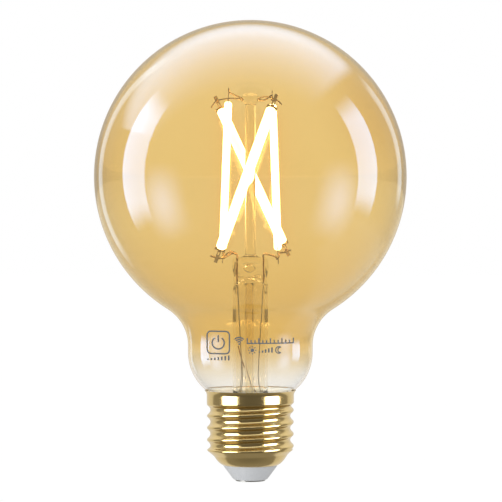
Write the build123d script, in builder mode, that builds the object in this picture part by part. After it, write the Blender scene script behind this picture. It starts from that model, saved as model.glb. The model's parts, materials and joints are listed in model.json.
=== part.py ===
"""Globe-shaped LED filament lamp with a wireless driver in its E27 screw cap.

Millimetres, +Z up. The origin is the centre of the end contact's outer face, and +Z is the
lamp's axis from the cap to the top of the globe. +X lies along the width of the stem's press.
"""

import math
import os

from build123d import *

# ---- Screw cap, E27 -------------------------------------------------------------------
thread_major_radius = 13.2
thread_pitch = 3.629
thread_round = 1.025  # radius of the rolled crests and roots
thread_phase_height = 10.9  # a crest crosses the XZ plane on the +X side at this height
thread_bottom = 8.4
thread_top = 22.6
thread_half_width = 1.56  # half the width of the rolled ridge at its foot
thread_set_in = 1.0  # the ridge's centre starts this far above the thread's lower end
ledge_margin = 0.06  # the plain bands stand this much proud of the thread
shell_wall = 0.35
rim_height = 27.5
rim_flare = 0.65  # how far the lip turns out
rim_flare_length = 0.9
lip_clearance = 0.1  # between the glass and the lip
nose_radius = 8.36  # open lower end of the shell
nose_height = 4.8

# ---- Glass ----------------------------------------------------------------------------
globe_radius = 47.5
globe_wall = 0.8
neck_over_thread = 5.75  # the neck's radius is larger than the thread's by this much
neck_low = 39.0  # the neck is straight from here
neck_straight = 2.1  # for this length
neck_blend = 13.0  # concave radius between the neck and the globe
glass_foot = 19.0  # lowest edge of the glass, inside the cap
cement_gap = 0.55

# ---- Stem -----------------------------------------------------------------------------
stem_radius = 5.35
stem_wall = 0.95
flare_start = 26.5  # the tube turns outwards below this height
flare_round = 6.5
press_below_globe_centre = 24.5
press_length = 7.9
press_waist = 10.2
press_width = 11.0
press_thickness = 5.0
press_blend = 3.2  # the tube flattens over this length
press_edge = 1.6
hollow_width = 8.5
hollow_thickness = 2.9
exhaust_radius = 1.45
exhaust_bore = 0.95
exhaust_tip = 17.0
exhaust_offset = -0.3
vent_rise = 4.6
vent_radius = 1.35
rod_radius = 1.58
rod_foot_radius = 3.1
rod_foot_height = 0.9
rod_over_filament = 4.2  # the rod is longer than the filaments by this much
button_radius = 3.0
button_face_radius = 1.95
button_height = 3.4
button_band_low = 1.2
button_band_high = 2.2

# ---- Filaments ------------------------------------------------------------------------
filament_length = 45.6
filament_width = 3.0
filament_thickness = 2.3
filament_end_round = 0.55
substrate_width = 1.9
substrate_thickness = 0.45
shoulder_width = 3.2
shoulder_length = 0.5
shoulder_depth = 0.7  # how far the tab's shoulder is set into the phosphor
tab_width = 1.05
tab_thickness = 0.25
tab_length = 4.2
tab_slot_length = 1.0
tab_slot_width = 0.45
tab_slot_place = 1.35
weld_place = 2.7
weld_half_run = 0.8
chip_count = 28
chip_length = 1.0
chip_width = 0.7
chip_thickness = 0.2

# name: foot of the lit length (x, y, height above the press), lean of the lit length (x, y)
filaments = {
    "front": ((-9.1, -7.4, 2.4), (15.6, 1.2)),
    "right": ((8.3, -5.6, 2.2), (-1.5, 9.2)),
    "back": ((10.1, 6.6, 4.2), (-19.2, -0.7)),
    "left": ((-8.4, 5.2, 2.4), (1.7, -8.6)),
}

# ---- Wires ----------------------------------------------------------------------------
lead_radius = 0.28
support_wire_radius = 0.2
seal_wire_radius = 0.2
outer_lead_radius = 0.2
antenna_radius = 0.16
sleeve_wall = 0.3
sleeve_clearance = 0.05
lead_place = 3.9  # distance of the leads from the axis, in the press
lead_pair_gap = 1.2
lead_set_in = 1.0  # depth of a lead's end in the press

# ---- Base insulator and end contact ---------------------------------------------------
contact_radius = 4.5
contact_thickness = 0.35
contact_edge = 0.12
nail_radius = 1.1
nail_length = 3.8
nose_face_radius = 4.9
nose_edge_radius = 5.75
nose_edge_height = 1.35
cup_clearance = 0.1
cup_top = 17.4
cup_wall = 1.15
cup_floor = 2.6
ledge_width = 0.8

# ---- Driver ---------------------------------------------------------------------------
board_height = 14.6
board_thickness = 1.0
board_clearance = 0.2
capacitor_radius = 3.15
capacitor_length = 5.3
capacitor_place = (3.9, 3.6)
bung_radius = 2.7
bung_thickness = 0.6
pin_radius = 0.25
drum_radius = 3.0
drum_length = 5.0
drum_flange = 0.8
drum_core_radius = 1.3
drum_place = (-4.4, 4.2)
rectifier_size = (4.6, 3.8, 1.5)
rectifier_place = (5.6, -2.6)
driver_chip_size = (4.9, 3.9, 1.4)
driver_chip_places = ((-4.0, -4.9), (4.0, -4.9))
leg_size = (1.0, 0.42, 0.25)
leg_spacing = 1.27
chip_resistor_size = (2.0, 1.25, 0.5)
chip_capacitor_size = (1.6, 0.8, 0.8)
chip_ring_radius = 8.3
wifi_board_size = (8.0, 0.8, 6.4)
wifi_board_place = 3.6
wifi_shield_size = (5.6, 1.0, 4.2)
wifi_shield_rise = 1.3
wifi_pin_count = 5
wifi_pin_spacing = 1.27
resistor_radius = 1.3
resistor_length = 6.5
resistor_place = (-3.9, -4.0)
solder_radius = 0.6
solder_height = 0.45

# ---- Worked out from the sizes above --------------------------------------------------
thread_depth = 2 * thread_round - math.sqrt(4 * thread_round**2 - thread_pitch**2 / 4)
thread_root_radius = thread_major_radius - thread_depth
collar_radius = thread_major_radius + ledge_margin
collar_bore = collar_radius - shell_wall
shell_bore = thread_root_radius - shell_wall
lip_bore = collar_bore + rim_flare
seal_radius = shell_bore - cement_gap

neck_radius = thread_major_radius + neck_over_thread
neck_blend_height = neck_low + neck_straight
globe_centre = neck_blend_height + math.sqrt(
    (globe_radius + neck_blend) ** 2 - (neck_radius + neck_blend) ** 2
)
lamp_height = globe_centre + globe_radius

press_top = globe_centre - press_below_globe_centre
press_bottom = press_top - press_length
rod_length = filament_length + rod_over_filament
stem_bore = stem_radius - stem_wall
flare_rim_radius = seal_radius - globe_wall
button_bottom = press_top + rod_length - button_height
button_top = press_top + rod_length

cup_radius = shell_bore - cup_clearance
cup_bore = cup_radius - cup_wall
board_radius = cup_bore - board_clearance
board_top = board_height + board_thickness

os.makedirs("parts", exist_ok=True)
made = []


def save(piece, name):
    """Labels a finished piece and writes it as its own STEP file."""
    piece.part.label = name
    export_step(piece.part, f"parts/{name}.step")
    made.append(name)


def bend_radii(points):
    """The largest even bend at each inner point: 0.45 of the shorter run beside it."""
    corners = [Vector(*p) for p in points]
    radii = []
    for before, here, after in zip(corners, corners[1:], corners[2:]):
        run_in, run_out = here - before, after - here
        half_turn = math.radians(run_in.get_angle(run_out)) / 2
        radii.append(0.45 * min(run_in.length, run_out.length) / math.tan(half_turn))
    return radii


def bent_wire(points, radius):
    """A round wire along straight runs joined by tangent bends."""
    with BuildPart() as wire:
        with BuildLine() as route:
            if len(points) > 2:
                FilletPolyline(*points, radius=bend_radii(points))
            else:
                Line(*points)
        with BuildSketch(Plane(origin=route.line @ 0, z_dir=route.line % 0)):
            Circle(radius)
        sweep()
    return wire


# ---- Glass envelope -------------------------------------------------------------------
def envelope_outline(inset):
    """Half outline of the globe, neck and skirt, set in from the outer surface."""
    globe = globe_radius - inset
    blend = neck_blend + inset
    neck = neck_radius - inset
    skirt = seal_radius - inset
    shoulder_run = neck_radius - lip_bore + lip_clearance
    shoulder_drop = neck_low - rim_height
    shoulder = (shoulder_run**2 + shoulder_drop**2) / (2 * shoulder_run) - inset
    shoulder_centre = neck - shoulder
    blend_centre = neck_radius + neck_blend
    tangent_share = globe / (globe + blend)
    join = (
        blend_centre * tangent_share,
        globe_centre + (neck_blend_height - globe_centre) * tangent_share,
    )
    end_turn = math.acos((skirt - shoulder_centre) / shoulder)
    top_turn = math.atan2(globe_centre - join[1], join[0])
    blend_turn = math.atan2(join[1] - neck_blend_height, blend_centre - join[0])
    with BuildLine() as outline:
        globe_middle = (math.pi / 2 - top_turn) / 2
        ThreePointArc(
            (0, globe_centre + globe),
            (globe * math.cos(globe_middle), globe_centre + globe * math.sin(globe_middle)),
            join,
        )
        ThreePointArc(
            join,
            (
                blend_centre - blend * math.cos(blend_turn / 2),
                neck_blend_height + blend * math.sin(blend_turn / 2),
            ),
            (neck, neck_blend_height),
        )
        Line((neck, neck_blend_height), (neck, neck_low))
        shoulder_end = (skirt, neck_low - shoulder * math.sin(end_turn))
        ThreePointArc(
            (neck, neck_low),
            (
                shoulder_centre + shoulder * math.cos(end_turn / 2),
                neck_low - shoulder * math.sin(end_turn / 2),
            ),
            shoulder_end,
        )
        Line(shoulder_end, (skirt, glass_foot))
    return outline


with BuildPart() as glass_envelope:
    with BuildSketch(Plane.XZ):
        with BuildLine():
            add(envelope_outline(0).line)
            add(envelope_outline(globe_wall).line)
            Line((0, lamp_height), (0, lamp_height - globe_wall))
            Line((seal_radius, glass_foot), (seal_radius - globe_wall, glass_foot))
        make_face()
    revolve(axis=Axis.Z)

# ---- Filaments ------------------------------------------------------------------------


def filament_frame(index, foot, lean):
    """A filament's own plane: origin at the foot, z up its length, y towards the lamp's axis."""
    rise = math.sqrt(filament_length**2 - lean[0] ** 2 - lean[1] ** 2)
    width_turn = math.pi / 2 * index
    return Plane(
        origin=(foot[0], foot[1], press_top + foot[2]),
        x_dir=(math.cos(width_turn), math.sin(width_turn), 0),
        z_dir=(lean[0], lean[1], rise),
    )


frames = {
    name: filament_frame(index, foot, lean)
    for index, (name, (foot, lean)) in enumerate(filaments.items())
}


def weld(name, at_head, wire_radius, way=1):
    """Two points of a wire's straight run across the inner face of a filament's tab."""
    place = filament_length + weld_place if at_head else -weld_place
    lift = tab_thickness / 2 + wire_radius
    return [
        tuple(frames[name].from_local_coords(Vector(side * way * weld_half_run, lift, place)))
        for side in (-1, 1)
    ]


filament_parts = {}
for name, frame in frames.items():
    substrate_low = shoulder_depth
    substrate_length = filament_length - 2 * shoulder_depth
    along_axis = Axis(frame.origin, frame.z_dir)
    with BuildPart() as substrate:
        with BuildSketch(frame.offset(substrate_low)):
            Rectangle(substrate_width, substrate_thickness)
        extrude(amount=substrate_length)

    middle = frame.from_local_coords(Vector(0, 0, filament_length / 2))
    flat = Plane(origin=middle, x_dir=frame.z_dir, z_dir=-frame.y_dir)
    chip_pitch = substrate_length / chip_count
    with BuildPart() as chips:
        with BuildSketch(flat.offset(substrate_thickness / 2)):
            with GridLocations(chip_pitch, 1, chip_count, 1):
                Rectangle(chip_length, chip_width)
        extrude(amount=chip_thickness)

    tab_middle = (filament_length + tab_length) / 2
    shoulder_middle = (filament_length + shoulder_length - shoulder_depth) / 2
    slot_middle = filament_length / 2 + tab_slot_place
    with BuildPart() as tabs:
        with BuildSketch(flat.offset(-tab_thickness / 2)):
            with GridLocations(2 * tab_middle, 1, 2, 1):
                Rectangle(tab_length, tab_width)
            with GridLocations(2 * shoulder_middle, 1, 2, 1):
                Rectangle(shoulder_length + shoulder_depth, shoulder_width)
            with GridLocations(2 * slot_middle, 1, 2, 1):
                SlotOverall(tab_slot_length, tab_slot_width, mode=Mode.SUBTRACT)
        extrude(amount=tab_thickness)

    with BuildPart() as phosphor:
        with BuildSketch(frame):
            SlotOverall(filament_width, filament_thickness)
        extrude(amount=filament_length)
        ends = phosphor.faces().sort_by(along_axis)
        fillet([*ends[0].edges(), *ends[-1].edges()], radius=filament_end_round)
        add(substrate.part, mode=Mode.SUBTRACT)
        add(chips.part, mode=Mode.SUBTRACT)
        add(tabs.part, mode=Mode.SUBTRACT)

    filament_parts[name] = {
        "phosphor": phosphor,
        "substrate": substrate,
        "led_chips": chips,
        "end_tabs": tabs,
    }

# ---- Leads from the press to the filaments --------------------------------------------
lead_top = press_top - lead_set_in
pair_y = lead_pair_gap / 2

inner_lead_warm = bent_wire(
    [
        (-lead_place, -pair_y, lead_top),
        (-lead_place, -pair_y, press_top + 0.9),
        (-5.6, -1.4, press_top + 1.4),
        (-7.0, -4.4, press_top + 0.3),
        *weld("front", False, lead_radius, way=-1),
        (-11.9, -7.4, press_top + 0.4),
    ],
    lead_radius,
)
inner_lead_cool = bent_wire(
    [
        (-lead_place, pair_y, lead_top),
        (-lead_place, pair_y, press_top + 1.0),
        (-5.8, 1.4, press_top + 1.8),
        (-7.0, 3.2, press_top + 1.4),
        *weld("left", False, lead_radius, way=-1),
        (-8.3, 8.0, press_top + 1.5),
    ],
    lead_radius,
)
inner_lead_common = bent_wire(
    [
        (lead_place, 0, lead_top),
        (lead_place, 0, press_top + 1.1),
        (5.4, -4.4, press_top + 0.9),
        (7.4, -7.6, press_top + 0.4),
        *weld("right", False, lead_radius),
        (8.9, -1.4, press_top + 0.5),
        (8.2, 4.4, press_top + 1.3),
        *weld("back", False, lead_radius, way=-1),
        (12.4, 6.4, press_top + 2.1),
    ],
    lead_radius,
)
inner_leads = {
    "inner_lead_warm": inner_lead_warm,
    "inner_lead_cool": inner_lead_cool,
    "inner_lead_common": inner_lead_common,
}

# ---- Wires that hold the filaments' heads ---------------------------------------------
anchor_height = button_bottom + (button_band_low + button_band_high) / 2
top_wire_left = bent_wire(
    [
        (-6.5, -6.4, anchor_height + 2.6),
        *weld("left", True, support_wire_radius, way=-1),
        (-4.2, -1.4, anchor_height + 0.9),
        (-1.9, -0.6, anchor_height),
        (-2.0, 0.6, anchor_height),
        (-5.4, 3.4, anchor_height + 0.6),
        *weld("back", True, support_wire_radius),
        (-12.0, 6.0, anchor_height - 2.2),
    ],
    support_wire_radius,
)
top_wire_right = bent_wire(
    [
        (9.4, -6.4, anchor_height - 2.0),
        *weld("front", True, support_wire_radius, way=-1),
        (4.6, -3.6, anchor_height + 0.7),
        (1.9, -0.6, anchor_height),
        (2.0, 0.6, anchor_height),
        (4.4, 1.6, anchor_height - 0.4),
        *weld("right", True, support_wire_radius),
        (6.5, 6.6, anchor_height + 0.1),
    ],
    support_wire_radius,
)

# ---- Stem -----------------------------------------------------------------------------
flare_centre = stem_radius + flare_round
flare_turn = math.acos((flare_centre - flare_rim_radius) / flare_round)
bore_turn = math.acos((flare_centre - flare_rim_radius) / (flare_round + stem_wall))
blend_bottom = press_bottom - press_blend


def flare_point(radius, turn):
    """A point on the flare's arc of that radius, so far round from the tube."""
    return (flare_centre - radius * math.cos(turn), flare_start - radius * math.sin(turn))


with BuildPart() as stem:
    with BuildSketch(Plane.XZ):
        with BuildLine():
            Line((stem_bore, blend_bottom), (stem_radius, blend_bottom))
            Line((stem_radius, blend_bottom), (stem_radius, flare_start))
            ThreePointArc(
                (stem_radius, flare_start),
                flare_point(flare_round, flare_turn / 2),
                flare_point(flare_round, flare_turn),
            )
            Line(
                flare_point(flare_round, flare_turn),
                flare_point(flare_round + stem_wall, bore_turn),
            )
            ThreePointArc(
                flare_point(flare_round + stem_wall, bore_turn),
                flare_point(flare_round + stem_wall, bore_turn / 2),
                (stem_bore, flare_start),
            )
            Line((stem_bore, flare_start), (stem_bore, blend_bottom))
        make_face()
    revolve(axis=Axis.Z)
    with BuildSketch(Plane.XY.offset(blend_bottom)):
        Circle(stem_radius)
    with BuildSketch(Plane.XY.offset(press_bottom)):
        RectangleRounded(press_waist, press_thickness, press_thickness * 0.45)
    loft()
    with BuildSketch(Plane.XY.offset(press_bottom)):
        RectangleRounded(press_waist, press_thickness, press_thickness * 0.45)
    with BuildSketch(Plane.XY.offset(press_top - press_edge)):
        RectangleRounded(press_width, press_thickness, press_thickness * 0.45)
    loft(ruled=True)
    with BuildSketch(Plane.XY.offset(press_top - press_edge)):
        RectangleRounded(press_width, press_thickness, press_thickness * 0.45)
    extrude(amount=press_edge)
    fillet(stem.faces().sort_by(Axis.Z)[-1].edges(), radius=press_edge * 0.8)
    with BuildSketch(Plane.XY.offset(blend_bottom)):
        Circle(stem_bore)
    with BuildSketch(Plane.XY.offset(press_bottom)):
        RectangleRounded(hollow_width, hollow_thickness, hollow_thickness * 0.45)
    loft(mode=Mode.SUBTRACT)
    with BuildSketch(Plane.XY.offset(press_bottom)):
        with Locations((exhaust_offset, 0)):
            Circle(exhaust_bore)
    extrude(amount=vent_rise, mode=Mode.SUBTRACT)
    with Locations((exhaust_offset, -press_thickness / 2, press_bottom + vent_rise)):
        Sphere(vent_radius, mode=Mode.SUBTRACT)
    with Locations((exhaust_offset, 0, press_bottom + vent_rise)):
        Sphere(vent_radius * 0.8, mode=Mode.SUBTRACT)

with BuildPart() as exhaust_tube:
    with BuildSketch(Plane.XY.offset(exhaust_tip + exhaust_radius)):
        with Locations((exhaust_offset, 0)):
            Circle(exhaust_radius)
    extrude(amount=press_bottom - exhaust_tip - exhaust_radius)
    with Locations((exhaust_offset, 0, exhaust_tip + exhaust_radius)):
        Sphere(exhaust_radius)
    with BuildSketch(Plane.XY.offset(exhaust_tip + exhaust_radius)):
        with Locations((exhaust_offset, 0)):
            Circle(exhaust_bore)
    extrude(amount=press_bottom - exhaust_tip - exhaust_radius, mode=Mode.SUBTRACT)

with BuildPart() as support_rod:
    with BuildSketch(Plane.XZ):
        with BuildLine():
            Polyline(
                (rod_radius, press_top + rod_foot_height),
                (rod_radius, button_bottom),
                (button_radius, button_bottom + button_band_low),
                (button_radius, button_bottom + button_band_high),
                (button_face_radius, button_top),
                (0, button_top),
                (0, press_top),
                (rod_foot_radius, press_top),
            )
            RadiusArc(
                (rod_foot_radius, press_top),
                (rod_radius, press_top + rod_foot_height),
                radius=-2 * rod_foot_height,
            )
        make_face()
    revolve(axis=Axis.Z)
    for wire in (top_wire_left, top_wire_right):
        add(wire.part, mode=Mode.SUBTRACT)

# ---- Wires through and below the press ------------------------------------------------
seal_low = press_bottom + lead_set_in / 2
lead_feet = {
    "warm": (-lead_place, -pair_y),
    "cool": (-lead_place, pair_y),
    "common": (lead_place, 0),
}
with BuildPart() as seal_wires:
    with BuildSketch(Plane.XY.offset(seal_low)):
        with Locations(*lead_feet.values()):
            Circle(seal_wire_radius)
    extrude(amount=lead_top - seal_low)

# Each outer lead runs down the stem's tube, then straight to its pad on the board.
outer_lead_routes = {
    "warm": [(-3.3, -1.3, 50), (-2.8, -1.9, 39), (-1.9, -2.7, 28)],
    "cool": [(-3.4, 1.0, 50), (-2.9, 1.5, 39), (-2.7, 1.9, 28)],
    "common": [(3.3, -0.8, 50), (2.6, -1.5, 38), (2.1, -2.1, 28)],
}
pads = {"warm": (-7.6, -2.6), "cool": (-6.8, 1.2), "common": (8.6, 0.6)}
outer_leads = {}
for name, route in outer_lead_routes.items():
    foot = lead_feet[name]
    outer_leads[name] = bent_wire(
        [(*foot, seal_low), (*foot, press_bottom - 1.5)]
        + route
        + [(*pads[name], board_height - 0.4)],
        outer_lead_radius,
    )

with BuildPart() as lead_sleeves:
    for name, route in outer_lead_routes.items():
        top, pad = Vector(*route[-1]), Vector(*pads[name], board_height - 0.4)
        start = pad + (top - pad) * 0.2
        with BuildSketch(Plane(origin=start, z_dir=top - pad)):
            Circle(outer_lead_radius + sleeve_clearance + sleeve_wall)
            Circle(outer_lead_radius + sleeve_clearance, mode=Mode.SUBTRACT)
        extrude(amount=(top - start).length * 0.4)

antenna_y = wifi_board_place - wifi_board_size[1] / 2 - antenna_radius
antenna = bent_wire(
    [
        (3.2, antenna_y, board_top + wifi_board_size[2] - 1.5),
        (3.2, antenna_y, board_top + wifi_board_size[2] + 1.2),
        (0.9, 2.6, 28),
        (-2.6, 2.2, 36),
        (-3.8, 1.2, 41),
    ],
    antenna_radius,
)

for wire in (*inner_leads.values(), seal_wires, *outer_leads.values()):
    with stem:
        add(wire.part, mode=Mode.SUBTRACT)


# ---- Screw shell ----------------------------------------------------------------------
thread_start = thread_bottom + thread_set_in
thread_end = thread_top + shell_wall - thread_half_width
start_turn = 2 * math.pi * (thread_start - thread_phase_height) / thread_pitch
thread_seat = Plane(
    origin=(0, 0, thread_start), x_dir=(math.cos(start_turn), math.sin(start_turn), 0)
)
with BuildPart() as thread_ridge:
    with BuildLine(thread_seat) as helix:
        Helix(
            pitch=thread_pitch, height=thread_end - thread_start, radius=thread_root_radius
        )
    with BuildSketch(Plane(helix.line @ 0, x_dir=thread_seat.x_dir, z_dir=helix.line % 0)):
        with BuildLine():
            Polyline(
                (0, -thread_half_width),
                (-shell_wall / 2, -thread_half_width),
                (-shell_wall / 2, thread_half_width),
                (0, thread_half_width),
            )
            ThreePointArc(
                (0, thread_half_width), (thread_depth, 0), (0, -thread_half_width)
            )
        make_face()
    sweep(path=helix.line, is_frenet=True)

with BuildPart() as cap_shell:
    with BuildSketch(Plane.XZ):
        with BuildLine():
            Polyline(
                (shell_bore, thread_top),
                (collar_radius, thread_top),
                (collar_radius, rim_height - rim_flare_length),
                (collar_radius + rim_flare, rim_height),
                (lip_bore, rim_height),
                (collar_bore, rim_height - rim_flare_length),
                (collar_bore, thread_top + shell_wall),
                (shell_bore, thread_top + shell_wall),
                close=True,
            )
        make_face()
    revolve(axis=Axis.Z)
    with BuildSketch(Plane.XZ):
        with BuildLine():
            Polyline(
                (shell_bore, thread_bottom),
                (collar_radius, thread_bottom),
                (collar_radius - shell_wall, thread_bottom - shell_wall),
                (nose_radius, nose_height),
                (nose_radius - shell_wall, nose_height),
                (shell_bore, thread_bottom - shell_wall),
                close=True,
            )
        make_face()
    revolve(axis=Axis.Z)
    with BuildSketch(Plane.XY.offset(thread_bottom)):
        Circle(thread_root_radius)
        Circle(shell_bore, mode=Mode.SUBTRACT)
    extrude(amount=thread_top - thread_bottom)
    add(thread_ridge.part)

# ---- Base insulator with its cup, and the end contact ---------------------------------
with BuildPart() as base_insulator:
    with BuildSketch(Plane.XZ):
        with BuildLine():
            Polyline(
                (nose_edge_radius, nose_edge_height),
                (nose_radius - shell_wall, nose_height),
                (cup_radius, thread_bottom - shell_wall),
                (cup_radius, cup_top),
                (cup_bore, cup_top),
                (cup_bore, board_height),
                (cup_bore - ledge_width, board_height),
                (cup_bore - ledge_width, thread_bottom + cup_wall),
                (nose_edge_radius, nose_height),
                (nail_radius + cup_wall, cup_floor),
                (0, cup_floor),
                (0, contact_thickness),
                (nose_face_radius, contact_thickness),
            )
            RadiusArc(
                (nose_face_radius, contact_thickness),
                (nose_edge_radius, nose_edge_height),
                radius=-1.4,
            )
        make_face()
    revolve(axis=Axis.Z)
    with BuildSketch(Plane.XY.offset(contact_thickness)):
        Circle(nail_radius)
    extrude(amount=cup_floor, mode=Mode.SUBTRACT)
    notch_depth = cup_top - board_top
    with Locations((-(cup_radius + cup_bore) / 2, 0, cup_top - notch_depth / 2)):
        Box(2 * cup_wall, 0.7, notch_depth, mode=Mode.SUBTRACT)

with BuildPart() as end_contact:
    with BuildSketch(Plane.XY):
        Circle(contact_radius)
    extrude(amount=contact_thickness)
    fillet(end_contact.edges().sort_by(Axis.Z)[0], radius=contact_edge)
    with BuildSketch(Plane.XY.offset(contact_thickness)):
        Circle(nail_radius)
    extrude(amount=nail_length)

with BuildPart() as capping_cement:
    cement_top = rim_height - 2.2
    with BuildSketch(Plane.XZ):
        with BuildLine():
            Polyline(
                (seal_radius, glass_foot),
                (shell_bore, glass_foot),
                (shell_bore, thread_top + shell_wall),
                (collar_bore, thread_top + shell_wall),
                (collar_bore, cement_top),
                (seal_radius, cement_top),
                close=True,
            )
        make_face()
    revolve(axis=Axis.Z)
    add(glass_envelope.part, mode=Mode.SUBTRACT)

# ---- Driver board and what is on it ---------------------------------------------------
under_board = Plane.XY.offset(board_height)
on_board = Plane.XY.offset(board_top)

with BuildPart() as bulk_capacitor:
    can_top = board_height - bung_thickness
    with Locations((*capacitor_place, can_top - capacitor_length / 2)):
        Cylinder(capacitor_radius, capacitor_length)
    fillet(bulk_capacitor.edges().sort_by(Axis.Z)[0], radius=0.5)

with BuildPart() as capacitor_bung:
    with Locations((*capacitor_place, board_height - bung_thickness / 2)):
        Cylinder(bung_radius, bung_thickness)

with BuildPart() as inductor_core:
    drum_bottom = board_height - drum_length
    with Locations((*drum_place, drum_bottom + drum_length / 2)):
        Cylinder(drum_core_radius, drum_length)
    for flange in (drum_flange / 2, drum_length - drum_flange / 2):
        with Locations((*drum_place, drum_bottom + flange)):
            Cylinder(drum_radius, drum_flange)

with BuildPart() as inductor_winding:
    winding_radius = drum_radius - 0.35
    with BuildSketch(Plane.XY.offset(drum_bottom + drum_flange)):
        with Locations(drum_place):
            Circle(winding_radius)
            Circle(drum_core_radius, mode=Mode.SUBTRACT)
    extrude(amount=drum_length - 2 * drum_flange)

with BuildPart() as bridge_rectifier:
    with Locations((*rectifier_place, board_height - rectifier_size[2] / 2)):
        Box(*rectifier_size)

with BuildPart() as driver_chips:
    with Locations(
        *[(*place, board_top + driver_chip_size[2] / 2) for place in driver_chip_places]
    ):
        Box(*driver_chip_size)

with BuildPart() as chip_legs:
    for place in driver_chip_places:
        for side in (-1, 1):
            reach = place[1] + side * (driver_chip_size[1] + leg_size[0]) / 2
            with Locations((place[0], reach, board_top + leg_size[2] / 2)):
                with GridLocations(leg_spacing, 1, 4, 1):
                    Box(leg_size[1], leg_size[0], leg_size[2])
    for side in (-1, 1):
        reach = rectifier_place[1] + side * (rectifier_size[1] + leg_size[0]) / 2
        with Locations((rectifier_place[0], reach, board_height - leg_size[2] / 2)):
            with GridLocations(2 * leg_spacing, 1, 2, 1):
                Box(2 * leg_size[1], leg_size[0], leg_size[2])


def ring_places(count, start, step, height):
    """Places round the board's edge for small chips, in degrees from +X."""
    turns = [math.radians(start + step * n) for n in range(count)]
    return [
        (chip_ring_radius * math.cos(turn), chip_ring_radius * math.sin(turn), height)
        for turn in turns
    ]


with BuildPart() as chip_resistors:
    with Locations(*ring_places(4, 70, 19, board_top + chip_resistor_size[2] / 2)):
        Box(*chip_resistor_size)

with BuildPart() as chip_capacitors:
    with Locations(*ring_places(3, 20, 15, board_top + chip_capacitor_size[2] / 2)):
        Box(*chip_capacitor_size)

with BuildPart() as wifi_board:
    with Locations((0, wifi_board_place, board_top + wifi_board_size[2] / 2)):
        Box(*wifi_board_size)

shield_front = wifi_board_place - (wifi_board_size[1] + wifi_shield_size[1]) / 2
with BuildPart() as wifi_shield:
    shield_height = board_top + wifi_shield_rise + wifi_shield_size[2] / 2
    with Locations((-0.7, shield_front, shield_height)):
        Box(*wifi_shield_size)
    chamfer(wifi_shield.edges().filter_by(Axis.Z), length=0.3)

with BuildPart() as wifi_pins:
    pin_length = wifi_shield_rise + board_thickness
    pin_back = wifi_board_place + wifi_board_size[1] / 2 + pin_radius
    with Locations((0, pin_back, board_top + wifi_shield_rise - pin_length / 2)):
        with GridLocations(wifi_pin_spacing, 1, wifi_pin_count, 1):
            Box(2 * pin_radius, 2 * pin_radius, pin_length)

resistor_height = board_height - resistor_radius - 1.4
with BuildPart() as fusible_resistor:
    with Locations(Location((*resistor_place, resistor_height), (0, 90, 0))):
        Cylinder(resistor_radius, resistor_length)
    fillet(fusible_resistor.edges().filter_by(GeomType.CIRCLE), radius=0.45)

resistor_left = resistor_place[0] - resistor_length / 2
resistor_right = resistor_place[0] + resistor_length / 2
resistor_lead = bent_wire(
    [
        (resistor_right, resistor_place[1], resistor_height),
        (resistor_right + 1.2, resistor_place[1], resistor_height),
        (resistor_right + 1.2, resistor_place[1], board_height + 0.5),
    ],
    outer_lead_radius,
)
live_lead = bent_wire(
    [
        (0, 0, contact_thickness + nail_length),
        (0, 0, contact_thickness + nail_length + 1.5),
        (-8.2, -1.5, resistor_height - 2),
        (resistor_left - 1.3, resistor_place[1], resistor_height),
        (resistor_left, resistor_place[1], resistor_height),
    ],
    outer_lead_radius,
)
neutral_lead = bent_wire(
    [
        (-board_radius + 1.4, 0, board_height + 0.2),
        (-board_radius + 1.4, 0, cup_top - 0.6),
        (-shell_bore + outer_lead_radius, 0, cup_top - 0.3),
        (-shell_bore + outer_lead_radius, 0, board_top + 0.2),
    ],
    outer_lead_radius,
)

with BuildPart() as capacitor_leads:
    with Locations((*capacitor_place, board_height + board_thickness / 4)):
        with GridLocations(2.5, 1, 2, 1):
            Cylinder(pin_radius, board_thickness / 2)

pad_places = [*pads.values(), (resistor_right + 1.2, resistor_place[1]), (-board_radius + 1.4, 0)]
with BuildPart() as driver_board:
    with BuildSketch(under_board):
        Circle(board_radius)
    extrude(amount=board_thickness)
    for wire in (*outer_leads.values(), resistor_lead, neutral_lead, capacitor_leads, wifi_pins):
        add(wire.part, mode=Mode.SUBTRACT)

with BuildPart() as solder_joints:
    with Locations(*[(*place, board_top) for place in pad_places]):
        Cone(solder_radius, outer_lead_radius, solder_height, align=(Align.CENTER, Align.CENTER, Align.MIN))
    for wire in (*outer_leads.values(), resistor_lead, neutral_lead):
        add(wire.part, mode=Mode.SUBTRACT)

# ---- Write every piece ----------------------------------------------------------------
save(glass_envelope, "glass_envelope")
save(stem, "stem_glass")
save(exhaust_tube, "exhaust_tube")
save(support_rod, "support_rod")
for name, pieces in filament_parts.items():
    for kind, piece in pieces.items():
        save(piece, f"{name}_filament_{kind}")
for name, piece in inner_leads.items():
    save(piece, name)
save(top_wire_left, "top_wire_left")
save(top_wire_right, "top_wire_right")
save(seal_wires, "seal_wires")
for name, piece in outer_leads.items():
    save(piece, f"outer_lead_{name}")
save(lead_sleeves, "lead_sleeves")
save(antenna, "antenna_wire")
save(cap_shell, "cap_shell")
save(base_insulator, "base_insulator")
save(end_contact, "end_contact")
save(capping_cement, "capping_cement")
save(driver_board, "driver_board")
save(bulk_capacitor, "bulk_capacitor")
save(capacitor_bung, "capacitor_bung")
save(capacitor_leads, "capacitor_leads")
save(inductor_core, "inductor_core")
save(inductor_winding, "inductor_winding")
save(bridge_rectifier, "bridge_rectifier")
save(driver_chips, "driver_chips")
save(chip_legs, "chip_legs")
save(chip_resistors, "chip_resistors")
save(chip_capacitors, "chip_capacitors")
save(wifi_board, "wifi_board")
save(wifi_shield, "wifi_shield")
save(wifi_pins, "wifi_pins")
save(fusible_resistor, "fusible_resistor")
save(resistor_lead, "resistor_lead")
save(live_lead, "live_lead")
save(neutral_lead, "neutral_lead")
save(solder_joints, "solder_joints")
print(len(made), "pieces, lamp height", round(lamp_height, 2), "press top", round(press_top, 2))
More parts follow.
